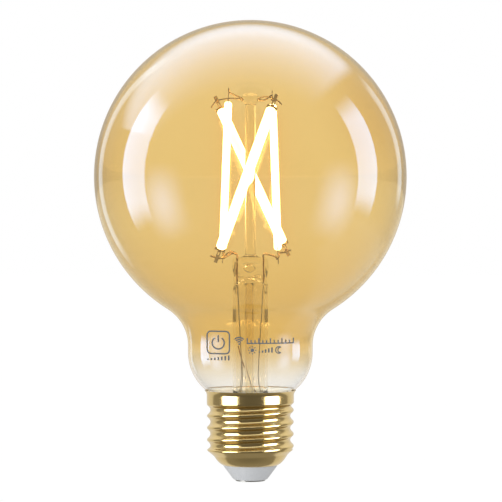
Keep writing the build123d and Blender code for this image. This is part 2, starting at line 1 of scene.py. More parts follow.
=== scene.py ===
"""Lit globe lamp: amber glass, four LED filaments on a glass stem, brass screw cap."""

import json
import math

import bpy
import numpy as np
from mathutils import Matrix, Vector


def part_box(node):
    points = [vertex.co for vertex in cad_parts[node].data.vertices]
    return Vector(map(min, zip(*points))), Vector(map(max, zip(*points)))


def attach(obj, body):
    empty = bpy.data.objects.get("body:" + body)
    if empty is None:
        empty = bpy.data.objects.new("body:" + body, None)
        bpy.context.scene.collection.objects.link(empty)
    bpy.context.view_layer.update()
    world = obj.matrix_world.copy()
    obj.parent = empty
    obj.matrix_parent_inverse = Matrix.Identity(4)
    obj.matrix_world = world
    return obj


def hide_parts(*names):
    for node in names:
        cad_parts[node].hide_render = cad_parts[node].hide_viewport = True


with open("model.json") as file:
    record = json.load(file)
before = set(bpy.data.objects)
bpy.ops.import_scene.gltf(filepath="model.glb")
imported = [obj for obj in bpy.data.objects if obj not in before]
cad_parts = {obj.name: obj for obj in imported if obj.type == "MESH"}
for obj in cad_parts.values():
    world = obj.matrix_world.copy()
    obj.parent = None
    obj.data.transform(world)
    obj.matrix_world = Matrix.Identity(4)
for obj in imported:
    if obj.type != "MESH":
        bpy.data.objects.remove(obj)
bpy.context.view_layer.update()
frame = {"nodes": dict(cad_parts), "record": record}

MM = 0.001  # the shapes below are worked out in millimetres
TURN = 2 * math.pi


def box_mm(node):
    """Lowest and highest corner of a CAD node, in millimetres."""
    low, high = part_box(node)
    return np.array(low) / MM, np.array(high) / MM


# ---- Sizes, in millimetres ------------------------------------------------------------
GLASS_LOW, GLASS_HIGH = box_mm("glass_envelope")
SHELL_LOW, SHELL_HIGH = box_mm("cap_shell")
STEM_HIGH = box_mm("stem_glass")[1]
ROD_HIGH = box_mm("support_rod")[1]
TUBE_LOW, TUBE_HIGH = box_mm("exhaust_tube")
BASE_HIGH = box_mm("base_insulator")[1]
CONTACT_HIGH = box_mm("end_contact")[1]

GLASS_WALL = 0.55  # thinner than the 0.8 of the CAD
GLOBE_RADIUS = min(*GLASS_HIGH[:2], *-GLASS_LOW[:2])
LAMP_TOP = GLASS_HIGH[2]
GLOBE_CENTRE = LAMP_TOP - GLOBE_RADIUS
GLASS_FOOT = GLASS_LOW[2]
NECK_RADIUS = 18.95
NECK_LOW = 39.0
NECK_STRAIGHT = 2.1
NECK_BLEND = 13.0
SKIRT_RADIUS = STEM_HIGH[0] + 0.8

SHEET = 0.35  # brass sheet of the cap
THREAD_CREST = 13.2
THREAD_PITCH = 3.629
THREAD_DEPTH = 1.03  # 1.096 in the CAD
CREST_SHARE = 0.33  # of a flank, how much belongs to the crest
THREAD_PHASE = 10.68  # a crest is at this height on the +X side, 10.9 in the CAD
GROOVE_FADES_OUT = (22.5, 24.0)  # heights between which the groove runs out into the collar
GROOVE_FADES_IN = (8.9, 10.4)  # and runs in above the nose
COLLAR_RADIUS = 13.26
RIM_HEIGHT = SHELL_HIGH[2]
NOSE_HEIGHT = SHELL_LOW[2]
NOSE_RADIUS = 8.36
NOSE_BLEND = 0.7
LIP_RUN = 1.5
LIP_CLEARANCE = 0.1

PRESS_TOP = STEM_HIGH[2]
PRESS_BOTTOM = TUBE_HIGH[2]
STEM_RADIUS = 5.35
STEM_WALL = 0.95
FLARE_START = 26.5
FLARE_ROUND = 6.5
TUBE_RADIUS = 1.45
TUBE_BORE = 0.95
TUBE_OFFSET = -0.3

FILAMENT_LENGTH = 45.6
# foot of the lit length (x, y, height above the press) and lean of the lit length (x, y)
FILAMENTS = {
    "front": ((-9.1, -7.4, 2.4), (15.6, 1.2)),
    "right": ((8.3, -5.6, 2.2), (-1.5, 9.2)),
    "back": ((10.1, 6.6, 4.2), (-19.2, -0.7)),
    "left": ((-8.4, 5.2, 2.4), (1.7, -8.6)),
}
TAB_THICKNESS = 0.25
WELD_PLACE = 2.7
WELD_HALF_RUN = 0.8
LEAD_RADIUS = 0.28
SUPPORT_RADIUS = 0.2
OUTER_RADIUS = 0.15
ANTENNA_RADIUS = 0.16


# ---- Surfaces -------------------------------------------------------------------------
def spaced(first, last, count):
    """Evenly spaced numbers without the last one, so that runs can be joined end to end."""
    return np.linspace(first, last, count, endpoint=False)


def smooth(value, low, high):
    """0 below low, 1 above high, and 3t^2 - 2t^3 between."""
    t = np.clip((value - low) / (high - low), 0, 1)
    return t * t * (3 - 2 * t)


def arc(centre, radius, first, last, count):
    """Points on a circle in the (r, z) plane between two angles in degrees."""
    t = np.radians(spaced(first, last, count))
    return np.stack([centre[0] + radius * np.cos(t), centre[1] + radius * np.sin(t)], 1)


def eased(corners, cut, steps=5, closed=True):
    """A profile with its corners eased: at each corner B, between the points that lie `cut`
    along its two runs, the curve (1-t)^2 A + 2t(1-t) B + t^2 C."""
    corners = np.array(corners, float)
    before, after = np.roll(corners, 1, 0), np.roll(corners, -1, 0)
    into, out = before - corners, after - corners
    reach_in = np.linalg.norm(into, axis=1, keepdims=True)
    reach_out = np.linalg.norm(out, axis=1, keepdims=True)
    cuts = np.broadcast_to(np.asarray(cut, float).reshape(-1, 1), reach_in.shape)
    start = corners + into * np.minimum(cuts / reach_in, 0.45)
    end = corners + out * np.minimum(cuts / reach_out, 0.45)
    t = np.linspace(0, 1, steps)[None, :, None]
    curve = (1 - t) ** 2 * start[:, None] + 2 * t * (1 - t) * corners[:, None] + t * t * end[:, None]
    if closed:
        return curve.reshape(-1, 2)
    return np.concatenate([corners[:1], curve[1:-1].reshape(-1, 2), corners[-1:]])


def ring_faces(rows, columns, looped):
    """Quads between neighbouring rings of points, each ring closed on itself."""
    r = np.arange(rows if looped else rows - 1)[:, None]
    c = np.arange(columns)[None, :]
    up, on = (r + 1) % rows, (c + 1) % columns
    corners = [r * columns + c, r * columns + on, up * columns + on, up * columns + c]
    return np.stack(np.broadcast_arrays(*corners), -1).reshape(-1, 4).tolist()


def skin(rings, looped=False, poles=None):
    """Points and faces over rings of points, an array of (ring, point, xyz). A looped skin
    joins the last ring to the first; otherwise each end closes in a fan on a pole point."""
    rows, columns = rings.shape[:2]
    points = rings.reshape(-1, 3)
    faces = ring_faces(rows, columns, looped)
    if looped:
        return points, faces
    if poles is None:
        poles = (rings[0].mean(0), rings[-1].mean(0))
    c = np.arange(columns)
    on = (c + 1) % columns
    first, last = len(points), len(points) + 1
    top = (rows - 1) * columns
    faces += np.stack([np.full(columns, first), on, c], 1).tolist()
    faces += np.stack([top + c, top + on, np.full(columns, last)], 1).tolist()
    return np.concatenate([points, np.array(poles, float)]), faces


def turned(profile, columns, looped=False):
    """Skin of an (r, z) profile turned about Z: x = r cos t, y = r sin t. The profile runs
    anticlockwise round the solid's section; if it isn't looped, its two ends are poles."""
    body = profile if looped else profile[1:-1]
    t = spaced(0, TURN, columns)
    rings = np.stack(
        [
            body[:, :1] * np.cos(t),
            body[:, :1] * np.sin(t),
            np.broadcast_to(body[:, 1:], (len(body), columns)),
        ],
        -1,
    )
    poles = None if looped else [(0, 0, profile[0, 1]), (0, 0, profile[-1, 1])]
    return skin(rings, looped, poles)


def joined(*skins):
    """Several skins as one array of points and one list of faces."""
    points, faces, count = [], [], 0
    for more_points, more_faces in skins:
        points.append(more_points)
        faces += [[corner + count for corner in face] for face in more_faces]
        count += len(more_points)
    return np.concatenate(points), faces


def curve_through(controls, steps=12):
    """A smooth line guided by control points: straight for the first and last half runs, and
    at each inner point B, from mid-run A to mid-run C, (1-t)^2 A + 2t(1-t) B + t^2 C."""
    controls = np.array(controls, float)
    middles = (controls[1:] + controls[:-1]) / 2
    t = spaced(0, 1, steps)[None, :, None]
    start, corner, end = middles[:-1, None], controls[1:-1, None], middles[1:, None]
    bends = (1 - t) ** 2 * start + 2 * t * (1 - t) * corner + t * t * end
    return np.concatenate([controls[:1], bends.reshape(-1, 3), middles[-1:], controls[-1:]])


def along(line):
    """Two unit vectors square to each point's direction on a line, turning as little as a
    fixed reference allows: side = direction x reference, rise = side x direction."""
    direction = np.gradient(line, axis=0)
    direction /= np.linalg.norm(direction, axis=1, keepdims=True)
    spread = np.linalg.svd(direction - direction.mean(0))[2]
    reference = spread[np.argmin(np.abs(direction @ spread.T).max(0))]
    side = np.cross(direction, reference)
    side /= np.linalg.norm(side, axis=1, keepdims=True)
    return side, np.cross(side, direction)


def wire(line, radius, sides=16):
    """A round wire along a line, with eased ends: ring = centre + radius (side cos t + rise
    sin t)."""
    side, rise = along(line)
    t = spaced(0, TURN, sides)
    ring = side[:, None] * np.cos(t)[None, :, None] + rise[:, None] * np.sin(t)[None, :, None]
    rings = line[:, None] + radius * ring
    start_way = (line[0] - line[1]) / np.linalg.norm(line[0] - line[1])
    end_way = (line[-1] - line[-2]) / np.linalg.norm(line[-1] - line[-2])
    first = line[0] + start_way * radius * 0.35 + ring[:1] * radius * 0.75
    last = line[-1] + end_way * radius * 0.35 + ring[-1:] * radius * 0.75
    return skin(np.concatenate([first, rings, last])[:, ::-1])


def piece(name, made, material, slot, *nodes, crease=None):
    """A shown piece from (points in mm, faces): smooth shaded, sharp past the crease angle,
    riding on the lamp and standing for the CAD nodes named."""
    points, faces = made
    mesh = bpy.data.meshes.new(name)
    mesh.from_pydata(points * MM, [], faces)
    mesh.shade_smooth()
    if crease:
        mesh.set_sharp_from_angle(angle=math.radians(crease))
    mesh.materials.append(material)
    shown = bpy.data.objects.new(name, mesh)
    bpy.context.scene.collection.objects.link(shown)
    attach(shown, "root")
    if nodes:
        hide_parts(*nodes)
    return shown


# ---- Materials ------------------------------------------------------------------------
def linear(code):
    """Linear colour from an sRGB hex code."""
    parts = np.array([int(code[n : n + 2], 16) for n in (1, 3, 5)]) / 255
    low, high = parts / 12.92, ((parts + 0.055) / 1.055) ** 2.4
    return (*np.where(parts <= 0.04045, low, high).tolist(), 1.0)


def new_material(name):
    """A material of that name with an empty Principled shader; returns it, its tree, shader."""
    material = bpy.data.materials.new(name)
    material.use_nodes = True
    tree = material.node_tree
    return material, tree, tree.nodes["Principled BSDF"]


def add(tree, kind, inputs=None, **settings):
    """Adds a node with its settings; inputs are constants, or sockets to link from."""
    node = tree.nodes.new("ShaderNode" + kind)
    for key, value in settings.items():
        setattr(node, key, value)
    for key, value in (inputs or {}).items():
        if isinstance(value, bpy.types.NodeSocket):
            tree.links.new(value, node.inputs[key])
        else:
            node.inputs[key].default_value = value
    return node


def set_shader(shader, **values):
    """Constants straight on a Principled shader's sockets; _ stands for a space."""
    for key, value in values.items():
        shader.inputs[key.replace("_", " ")].default_value = value


def object_mm(tree):
    """The piece's own coordinates, in millimetres."""
    place = add(tree, "TexCoord").outputs["Object"]
    scaled = add(tree, "VectorMath", {0: place, 1: (1000, 1000, 1000)}, operation="MULTIPLY")
    return scaled.outputs["Vector"]


# Soda-lime glass, blown, lustred with amber metal oxide on the globe and left clear at the
# cap: a sharp gloss that mirrors the room, and a tint that deepens where walls overlap.
glass_amber, tree, shader = new_material("soda_lime_glass_amber_lustre")
place = object_mm(tree)
height = add(tree, "SeparateXYZ", {0: place}).outputs["Z"]
drift = add(tree, "TexNoise", {"Vector": place, "Scale": 0.06, "Detail": 2.0})
wavering = add(tree, "MapRange", {"Value": drift.outputs["Fac"], "To Min": -2.0, "To Max": 2.0})
wavy_height = add(tree, "Math", {0: height, 1: wavering.outputs["Result"]}, operation="ADD")
amount = add(
    tree,
    "MapRange",
    {"Value": wavy_height.outputs[0], "From Min": 28.5, "From Max": 44.5},
    interpolation_type="SMOOTHSTEP",
)
risen = add(
    tree,
    "MapRange",
    {"Value": wavy_height.outputs[0], "From Min": 48.0, "From Max": 84.0},
    interpolation_type="SMOOTHSTEP",
).outputs["Result"]
lustre = add(
    tree, "Mix", {"Factor": risen, 6: linear("#F1DAA4"), 7: linear("#F6E3B4")}, data_type="RGBA"
).outputs[2]
for pool, near, far, depth in (((38, -24, 112), 2.0, 30.0, 0.5), ((-42, -20, 99), 2.0, 26.0, 0.25)):
    away = add(tree, "VectorMath", {0: place, 1: pool}, operation="DISTANCE").outputs["Value"]
    pooled = add(
        tree,
        "MapRange",
        {"Value": away, "From Min": near, "From Max": far, "To Min": depth, "To Max": 0.0},
        interpolation_type="SMOOTHSTEP",
    ).outputs["Result"]
    thick = {"Factor": pooled, 6: lustre, 7: linear("#DCBB7C")}
    lustre = add(tree, "Mix", thick, data_type="RGBA").outputs[2]
tint = add(
    tree,
    "Mix",
    {"Factor": amount.outputs["Result"], 6: linear("#FBF9F5"), 7: lustre},
    data_type="RGBA",
)
tree.links.new(tint.outputs[2], shader.inputs["Base Color"])
set_shader(shader, Transmission_Weight=1.0, Roughness=0.0, IOR=1.5)
set_shader(shader, Specular_IOR_Level=0.75, Specular_Tint=linear("#E6F1FF"))

# Lead glass of the stem, flame-worked: clear with a faint straw tone. Its index is set below
# the 1.56 of real lead glass, so that its edges stay soft.
glass_clear, tree, shader = new_material("lead_glass_clear")
place = object_mm(tree)
swirl = add(tree, "TexNoise", {"Vector": place, "Scale": 0.5, "Detail": 2.0})
straw = add(
    tree,
    "Mix",
    {"Factor": swirl.outputs["Fac"], 6: linear("#FBF8F0"), 7: linear("#F7F3E8")},
    data_type="RGBA",
)
tree.links.new(straw.outputs[2], shader.inputs["Base Color"])
set_shader(shader, Transmission_Weight=1.0, Roughness=0.0, IOR=1.22)
set_shader(shader, Specular_IOR_Level=0.3)

# Brass strip, rolled and lacquered: a warm mirror with faint marks from the rolling.
brass, tree, shader = new_material("lacquered_rolled_brass")
place = object_mm(tree)
stretch = add(tree, "Mapping", {"Vector": place, "Scale": (1.0, 1.0, 7.0)})
marks = add(tree, "TexNoise", {"Vector": stretch.outputs[0], "Scale": 0.9, "Detail": 5.0})
cloud = add(tree, "TexNoise", {"Vector": place, "Scale": 0.16, "Detail": 3.0})
tone = add(
    tree,
    "Mix",
    {"Factor": cloud.outputs["Fac"], 6: linear("#E0C483"), 7: linear("#EAD196")},
    data_type="RGBA",
)
polish = add(tree, "MapRange", {"Value": marks.outputs["Fac"], "To Min": 0.10, "To Max": 0.24})
relief = add(tree, "Bump", {"Height": marks.outputs["Fac"], "Strength": 0.12, "Distance": 0.00004})
tree.links.new(tone.outputs[2], shader.inputs["Base Color"])
tree.links.new(polish.outputs["Result"], shader.inputs["Roughness"])
tree.links.new(relief.outputs[0], shader.inputs["Normal"])
set_shader(shader, Metallic=1.0)

# Silicone filled with phosphor, extruded over the chips and lit: it blooms to white.
phosphor, tree, shader = new_material("phosphor_silicone_lit")
place = object_mm(tree)
grains = add(tree, "TexNoise", {"Vector": place, "Scale": 3.0, "Detail": 4.0})
body = add(
    tree,
    "Mix",
    {"Factor": grains.outputs["Fac"], 6: linear("#F6C75A"), 7: linear("#FFE39A")},
    data_type="RGBA",
)
pimples = add(tree, "Bump", {"Height": grains.outputs["Fac"], "Strength": 0.2, "Distance": 0.00003})
tree.links.new(body.outputs[2], shader.inputs["Base Color"])
tree.links.new(pimples.outputs[0], shader.inputs["Normal"])
set_shader(shader, Roughness=0.45, Emission_Color=linear("#FFEBC8"), Emission_Strength=8.0)

# Screen-printed ceramic ink on the neck: flat blue-grey.
ink, tree, shader = new_material("ceramic_ink_blue_grey")
place = object_mm(tree)
speckle = add(tree, "TexNoise", {"Vector": place, "Scale": 6.0, "Detail": 2.0})
tone = add(
    tree,
    "Mix",
    {"Factor": speckle.outputs["Fac"], 6: linear("#76808F"), 7: linear("#8A92A0")},
    data_type="RGBA",
)
tree.links.new(tone.outputs[2], shader.inputs["Base Color"])
set_shader(shader, Roughness=0.55)


def finish_of(name, low, high, grain_mm, rough, bump_mm, **values):
    """A solid finish: noise of that grain size moves the colour between two codes, the
    roughness between two values, and the surface by bump_mm."""
    made, tree, shader = new_material(name)
    place = object_mm(tree)
    grain = add(
        tree, "TexNoise", {"Vector": place, "Scale": 1 / grain_mm, "Detail": 4.0}
    ).outputs["Fac"]
    colour = add(tree, "Mix", {"Factor": grain, 6: linear(low), 7: linear(high)}, data_type="RGBA")
    gloss = add(tree, "MapRange", {"Value": grain, "To Min": rough[0], "To Max": rough[1]})
    relief = add(tree, "Bump", {"Height": grain, "Strength": 0.5, "Distance": bump_mm * MM})
    tree.links.new(colour.outputs[2], shader.inputs["Base Color"])
    tree.links.new(gloss.outputs["Result"], shader.inputs["Roughness"])
    tree.links.new(relief.outputs[0], shader.inputs["Normal"])
    set_shader(shader, **values)
    return made


# PBT, injection moulded: white with a low sheen and the mould's fine texture.
white_pbt = finish_of(
    "moulded_pbt_white", "#E4E7EB", "#F0F2F4", 1.5, (0.28, 0.38), 0.01,
    Subsurface_Weight=0.15, Subsurface_Radius=(1.0, 1.0, 1.0), Subsurface_Scale=0.0006,
)
# Nickel plate on a stamped disc: grey metal with a fine drawn finish.
nickel = finish_of("nickel_plated_brass", "#B9B9B6", "#CFCFCB", 0.8, (0.22, 0.34), 0.006, Metallic=1.0)
# Nickel wire, drawn and heat-toned: brownish grey metal.
lead_nickel = finish_of("drawn_nickel_wire", "#B3A08B", "#C6B5A1", 0.5, (0.4, 0.55), 0.004, Metallic=1.0)
# Molybdenum wire, drawn and cleaned: darker brownish metal.
molybdenum = finish_of("drawn_molybdenum_wire", "#A8967F", "#BBAA94", 0.5, (0.4, 0.55), 0.004, Metallic=1.0)
# Tin-plated steel strip, stamped: warm grey metal with rubbed edges.
tab_steel = finish_of("stamped_tinned_steel", "#C0AC94", "#D2C0A9", 0.6, (0.45, 0.6), 0.006, Metallic=1.0)
# Dumet wire in its seal: oxide red-brown copper.
dumet = finish_of("dumet_seal_wire", "#A8886A", "#BC9C7E", 0.4, (0.35, 0.5), 0.004, Metallic=1.0)
# Copper-clad wire with tin: pale metal.
tinned = finish_of("tinned_copper_wire", "#C4B8A6", "#D6CBBB", 0.5, (0.4, 0.55), 0.004, Metallic=1.0)
# Copper wire with clear enamel: orange-brown gloss.
enamelled = finish_of("enamelled_copper_wire", "#A0714E", "#B98A63", 0.4, (0.2, 0.3), 0.003, Metallic=1.0)

HIDDEN_FINISHES = {
    # Alumina strip, fired: translucent white.
    "substrate": finish_of("fired_alumina", "#EEECE6", "#F7F5F0", 0.3, (0.4, 0.55), 0.004),
    # Gallium nitride dies: pale blue gloss.
    "led_chips": finish_of("led_die_blue", "#B9C6DE", "#CBD6EA", 0.2, (0.15, 0.25), 0.001),
    "seal_wire": dumet,
    # Silicone-coated glass braid: soft off-white with the braid's grain.
    "sleeves": finish_of("glass_braid_sleeve", "#DEDBD0", "#ECE9E0", 0.35, (0.7, 0.85), 0.05),
    # Glass-epoxy board under green solder mask: satin.
    "board": finish_of("solder_mask_green", "#1F5B33", "#2A6E40", 0.8, (0.3, 0.45), 0.01),
    # Moulded epoxy: matt black with fine sparkle erosion.
    "black_body": finish_of("moulded_epoxy_black", "#1A1A1B", "#262627", 0.15, (0.5, 0.65), 0.01),
    # Drawn aluminium under a shrunk dark sleeve: satin.
    "can": finish_of("sleeved_aluminium_can", "#33363C", "#41454C", 1.2, (0.3, 0.42), 0.006),
    # Butyl rubber bung: matt black.
    "bung": finish_of("butyl_rubber", "#191919", "#232323", 0.4, (0.75, 0.9), 0.02),
    # Tin plate on the legs: bright, slightly orange-peeled.
    "pins": finish_of("tin_plate", "#BDBDBA", "#D0D0CD", 0.3, (0.25, 0.4), 0.005, Metallic=1.0),
    # Sintered ferrite: dark grey with a mineral grain.
    "ferrite": finish_of("sintered_ferrite", "#2B2B2D", "#3A3A3C", 0.25, (0.6, 0.8), 0.03),
    # Enamelled copper winding: orange-brown gloss.
    "winding": finish_of("copper_winding", "#A6613A", "#C27C50", 0.4, (0.25, 0.4), 0.03, Metallic=1.0),
    # Glass over thick film: black gloss.
    "chip_resistor": finish_of("thick_film_black", "#161618", "#222225", 0.3, (0.2, 0.35), 0.006),
    # Sintered barium titanate: tan ceramic.
    "chip_capacitor": finish_of("barium_titanate_tan", "#9C8465", "#AD9677", 0.3, (0.4, 0.55), 0.006),
    # Glass-epoxy board under blue solder mask: satin.
    "module_board": finish_of("solder_mask_blue", "#12233F", "#1A2F52", 0.8, (0.3, 0.45), 0.01),
    # Tinned steel can, stamped: grey metal with a brushed sheen.
    "shield": finish_of("stamped_shield_steel", "#B9B9B8", "#CDCDCC", 0.5, (0.3, 0.42), 0.008, Metallic=1.0),
    # Cement-coated resistor: chalky grey-green.
    "resistor_body": finish_of("cement_coat_grey_green", "#647A6E", "#768C80", 0.4, (0.65, 0.8), 0.03),
    # Reflowed tin solder: bright and rippled.
    "solder": finish_of("reflowed_solder", "#BFBFBF", "#D6D6D6", 0.3, (0.2, 0.35), 0.02, Metallic=1.0),
    "outer_leads": tinned,
    "end_tabs": tab_steel,
}
for entry in frame["record"]["subparts"]:
    if entry["material_slot"] in HIDDEN_FINISHES:
        node = frame["nodes"][entry["node"]]
        node.data.materials.clear()
        node.data.materials.append(HIDDEN_FINISHES[entry["material_slot"]])

# ---- Glass envelope -------------------------------------------------------------------
BLEND_HEIGHT = NECK_LOW + NECK_STRAIGHT
LIP_BORE = SHELL_HIGH[0] - SHEET
# the shoulder's arc runs from the lip's bore out to the neck
run, drop = NECK_RADIUS - LIP_BORE + LIP_CLEARANCE, NECK_LOW - RIM_HEIGHT
SHOULDER_RADIUS = (run * run + drop * drop) / (2 * run)


def envelope_side(inset):
    """One surface of the blown glass from the skirt up to the top pole, set in by inset:
    skirt, convex shoulder, straight neck, concave blend and globe, each arc tangent to the
    next."""
    globe, blend = GLOBE_RADIUS - inset, NECK_BLEND + inset
    neck, skirt = NECK_RADIUS - inset, SKIRT_RADIUS - inset
    shoulder = SHOULDER_RADIUS - inset
    shoulder_centre = (neck - shoulder, NECK_LOW)
    low_angle = math.degrees(math.acos((skirt - shoulder_centre[0]) / shoulder))
    blend_centre = (NECK_RADIUS + NECK_BLEND, BLEND_HEIGHT)
    rise = math.degrees(math.atan2(GLOBE_CENTRE - BLEND_HEIGHT, blend_centre[0]))
    skirt_top = NECK_LOW - shoulder * math.sin(math.radians(low_angle))
    skirt_rows = np.stack([np.full(5, skirt), spaced(GLASS_FOOT, skirt_top - 0.3, 5)], 1)
    return np.concatenate(
        [
            skirt_rows,
            arc(shoulder_centre, shoulder, -low_angle + 2, 0, 22),
            np.stack([np.full(4, neck), spaced(NECK_LOW, BLEND_HEIGHT, 4)], 1),
            arc(blend_centre, blend, 180, 180 - rise, 18),
            arc((0, GLOBE_CENTRE), globe, -rise, 89.6, 116),
            [(0, GLOBE_CENTRE + globe)],
        ]
    )


outer = envelope_side(0)
inner = envelope_side(GLASS_WALL)
globe_profile = np.concatenate([inner[::-1], outer])
globe_glass = piece(
    "globe_glass", turned(globe_profile, 232), glass_amber, "envelope_glass", "glass_envelope"
)
globe_glass.visible_shadow = False


# ---- Screw cap ------------------------------------------------------------------------
def rolled_thread(shift):
    """Radius of the thread at a shift in millimetres from a crest: a parabola over the crest
    and a wider one in the root, tangent to each other where they meet."""
    half = THREAD_PITCH / 2
    away = np.abs((shift / THREAD_PITCH + 0.5) % 1 - 0.5) * THREAD_PITCH
    meet = CREST_SHARE * half
    crest = -THREAD_DEPTH * away**2 / (meet * half)
    root = THREAD_DEPTH * ((half - away) ** 2 / ((half - meet) * half) - 1)
    return THREAD_CREST + np.where(away <= meet, crest, root)


def shell_surface(z, t):
    """Outer radius of the cap at height z and angle t: the helical thread, faded into the
    plain collar above, cut below by the rounded nose (a soft minimum), and the turned-out
    lip at the rim."""
    thread = rolled_thread(z - THREAD_PHASE - THREAD_PITCH * t / TURN)
    (out_low, out_high), (in_low, in_high) = GROOVE_FADES_OUT, GROOVE_FADES_IN
    groove = (COLLAR_RADIUS - thread) * smooth(-z, -out_high, -out_low) * smooth(z, in_low, in_high)
    walled = COLLAR_RADIUS - groove
    above = z - NOSE_HEIGHT
    cone = NOSE_RADIUS - 0.1 + 1.15 * (1 - np.exp(-above / 0.7)) + 0.6 * above
    foot = z - 8.25 + 0.35 * (1 - np.cos(t))
    nose = cone + 0.62 * (foot + np.sqrt(foot**2 + 0.05)) / 2
    blend = np.clip(0.5 + (nose - walled) / NOSE_BLEND, 0, 1)
    radius = nose * (1 - blend) + walled * blend - NOSE_BLEND / 2 * blend * (1 - blend)
    lip = np.clip((z - RIM_HEIGHT + LIP_RUN) / LIP_RUN, 0, 1) ** 2
    return radius + (SHELL_HIGH[0] - COLLAR_RADIUS) * lip


SHELL_COLUMNS = 256
t = spaced(0, TURN, SHELL_COLUMNS)[None, :]
up = np.linspace(NOSE_HEIGHT, RIM_HEIGHT, 200)[:, None]
down = np.linspace(RIM_HEIGHT, NOSE_HEIGHT + 0.1, 90)[:, None]
outside = shell_surface(up, t)
inside = shell_surface(down, t) - SHEET
inside[0] += SHEET * 0.35
radii = np.concatenate([outside, inside])
heights = np.concatenate([up, down])
shell_rings = np.stack(
    [radii * np.cos(t), radii * np.sin(t), np.broadcast_to(heights, radii.shape)], -1
)
shell = piece("screw_shell", skin(shell_rings, looped=True), brass, "cap_brass", "cap_shell", crease=50)

# Phenolic cement, baked: chalky cream. It fills the cap between the blown glass and the sheet,
# from the CAD cement's foot to just below the lip, which is higher than the CAD's.
CEMENT_BOX = box_mm("capping_cement")
CEMENT_LOW, CEMENT_TOP = CEMENT_BOX[0][2], RIM_HEIGHT - 0.3
glass_side = outer[(outer[:, 1] > CEMENT_LOW + 0.1) & (outer[:, 1] < CEMENT_TOP - 0.1)]
levels = np.linspace(CEMENT_LOW, CEMENT_TOP, 30)
bounds_at = (CEMENT_LOW, 22.4, 23.4, 26.2, CEMENT_TOP)
sheet_side = np.stack([np.interp(levels, bounds_at, (11.75, 11.75, 12.85, 12.85, 13.2)), levels], 1)
cement_profile = np.concatenate([sheet_side, glass_side[::-1] + (0.03, 0)])
piece(
    "cement_ring",
    turned(cement_profile, 160, looped=True),
    finish_of("baked_capping_cement_rim", "#F2EEE4", "#FBF8F1", 0.6, (0.8, 0.95), 0.05),
    "cement",
    "capping_cement",
    crease=50,
)

# ---- Base insulator and end contact ---------------------------------------------------
NAIL_RADIUS = 1.1
FACE_HEIGHT = CONTACT_HIGH[2] - 3.8
CUP_RADIUS = BASE_HIGH[0]
CUP_TOP = BASE_HIGH[2]
insulator_corners = [
    (NAIL_RADIUS + 0.02, FACE_HEIGHT), (4.95, FACE_HEIGHT), (5.6, 1.1), (8.2, 4.62), (8.2, 4.95),
    (9.8, 6.5), (10.85, 8.1), (CUP_RADIUS, 9.7), (CUP_RADIUS, CUP_TOP),
    (CUP_RADIUS - 1.15, CUP_TOP), (CUP_RADIUS - 1.15, 14.6), (CUP_RADIUS - 1.95, 14.6),
    (CUP_RADIUS - 1.95, 9.55), (5.75, 4.8), (2.25, 2.6), (NAIL_RADIUS + 0.02, 2.6),
]
insulator_cuts = [0.05, 0.5, 0.6, 0.1, 0.1, 0.4, 0.4, 0.4, 0.2, 0.2, 0.1, 0.1, 0.8, 0.8, 0.3, 0.05]
insulator = piece(
    "insulator",
    turned(eased(insulator_corners, insulator_cuts, 9), 160, looped=True),
    white_pbt,
    "cap_insulator",
    "base_insulator",
    crease=60,
)
contact_corners = [
    (0, 0.06), (1.1, 0.06), (1.5, 0.0), (4.5, 0.0), (4.5, FACE_HEIGHT), (NAIL_RADIUS, FACE_HEIGHT),
    (NAIL_RADIUS, CONTACT_HIGH[2]), (0, CONTACT_HIGH[2]),
]
contact_cuts = [0, 0.3, 0.3, 0.3, 0.05, 0.05, 0.25, 0]
contact = piece(
    "contact_disc",
    turned(eased(contact_corners, contact_cuts, 6, closed=False), 120),
    nickel,
    "contact",
    "end_contact",
    crease=60,
)

# ---- Stem -----------------------------------------------------------------------------
STEM_COLUMNS = 112
t_stem = spaced(0, TURN, STEM_COLUMNS)[None, :]


def squared_ring(half_x, half_y, power, z, lump=0.0):
    """Rings |x/a|^n + |y/b|^n = 1 at heights z, with a gentle wave of the given size that
    the flame leaves in the glass."""
    half_x, half_y, power = (np.broadcast_to(value, z.shape) for value in (half_x, half_y, power))
    c, s = np.cos(t_stem), np.sin(t_stem)
    share = 2 / power[:, None]
    wave = 1 + np.asarray(lump).reshape(-1, 1) * (
        np.sin(3 * t_stem + 1.3 * z[:, None]) + 0.6 * np.sin(5 * t_stem - 2.1 * z[:, None])
    )
    x = half_x[:, None] * np.sign(c) * np.abs(c) ** share * wave
    y = half_y[:, None] * np.sign(s) * np.abs(s) ** share * wave
    return np.stack([x, y, np.broadcast_to(z[:, None], x.shape)], -1)


flare_centre = STEM_RADIUS + FLARE_ROUND
rim_radius = STEM_HIGH[0]
outer_turn = math.degrees(math.acos((flare_centre - rim_radius) / FLARE_ROUND))
inner_turn = math.degrees(math.acos((flare_centre - rim_radius) / (FLARE_ROUND + STEM_WALL)))
flare_out = arc((flare_centre, FLARE_START), FLARE_ROUND, 180 + outer_turn, 180, 16)
flare_in = arc((flare_centre, FLARE_START), FLARE_ROUND + STEM_WALL, 180, 180 + inner_turn, 16)

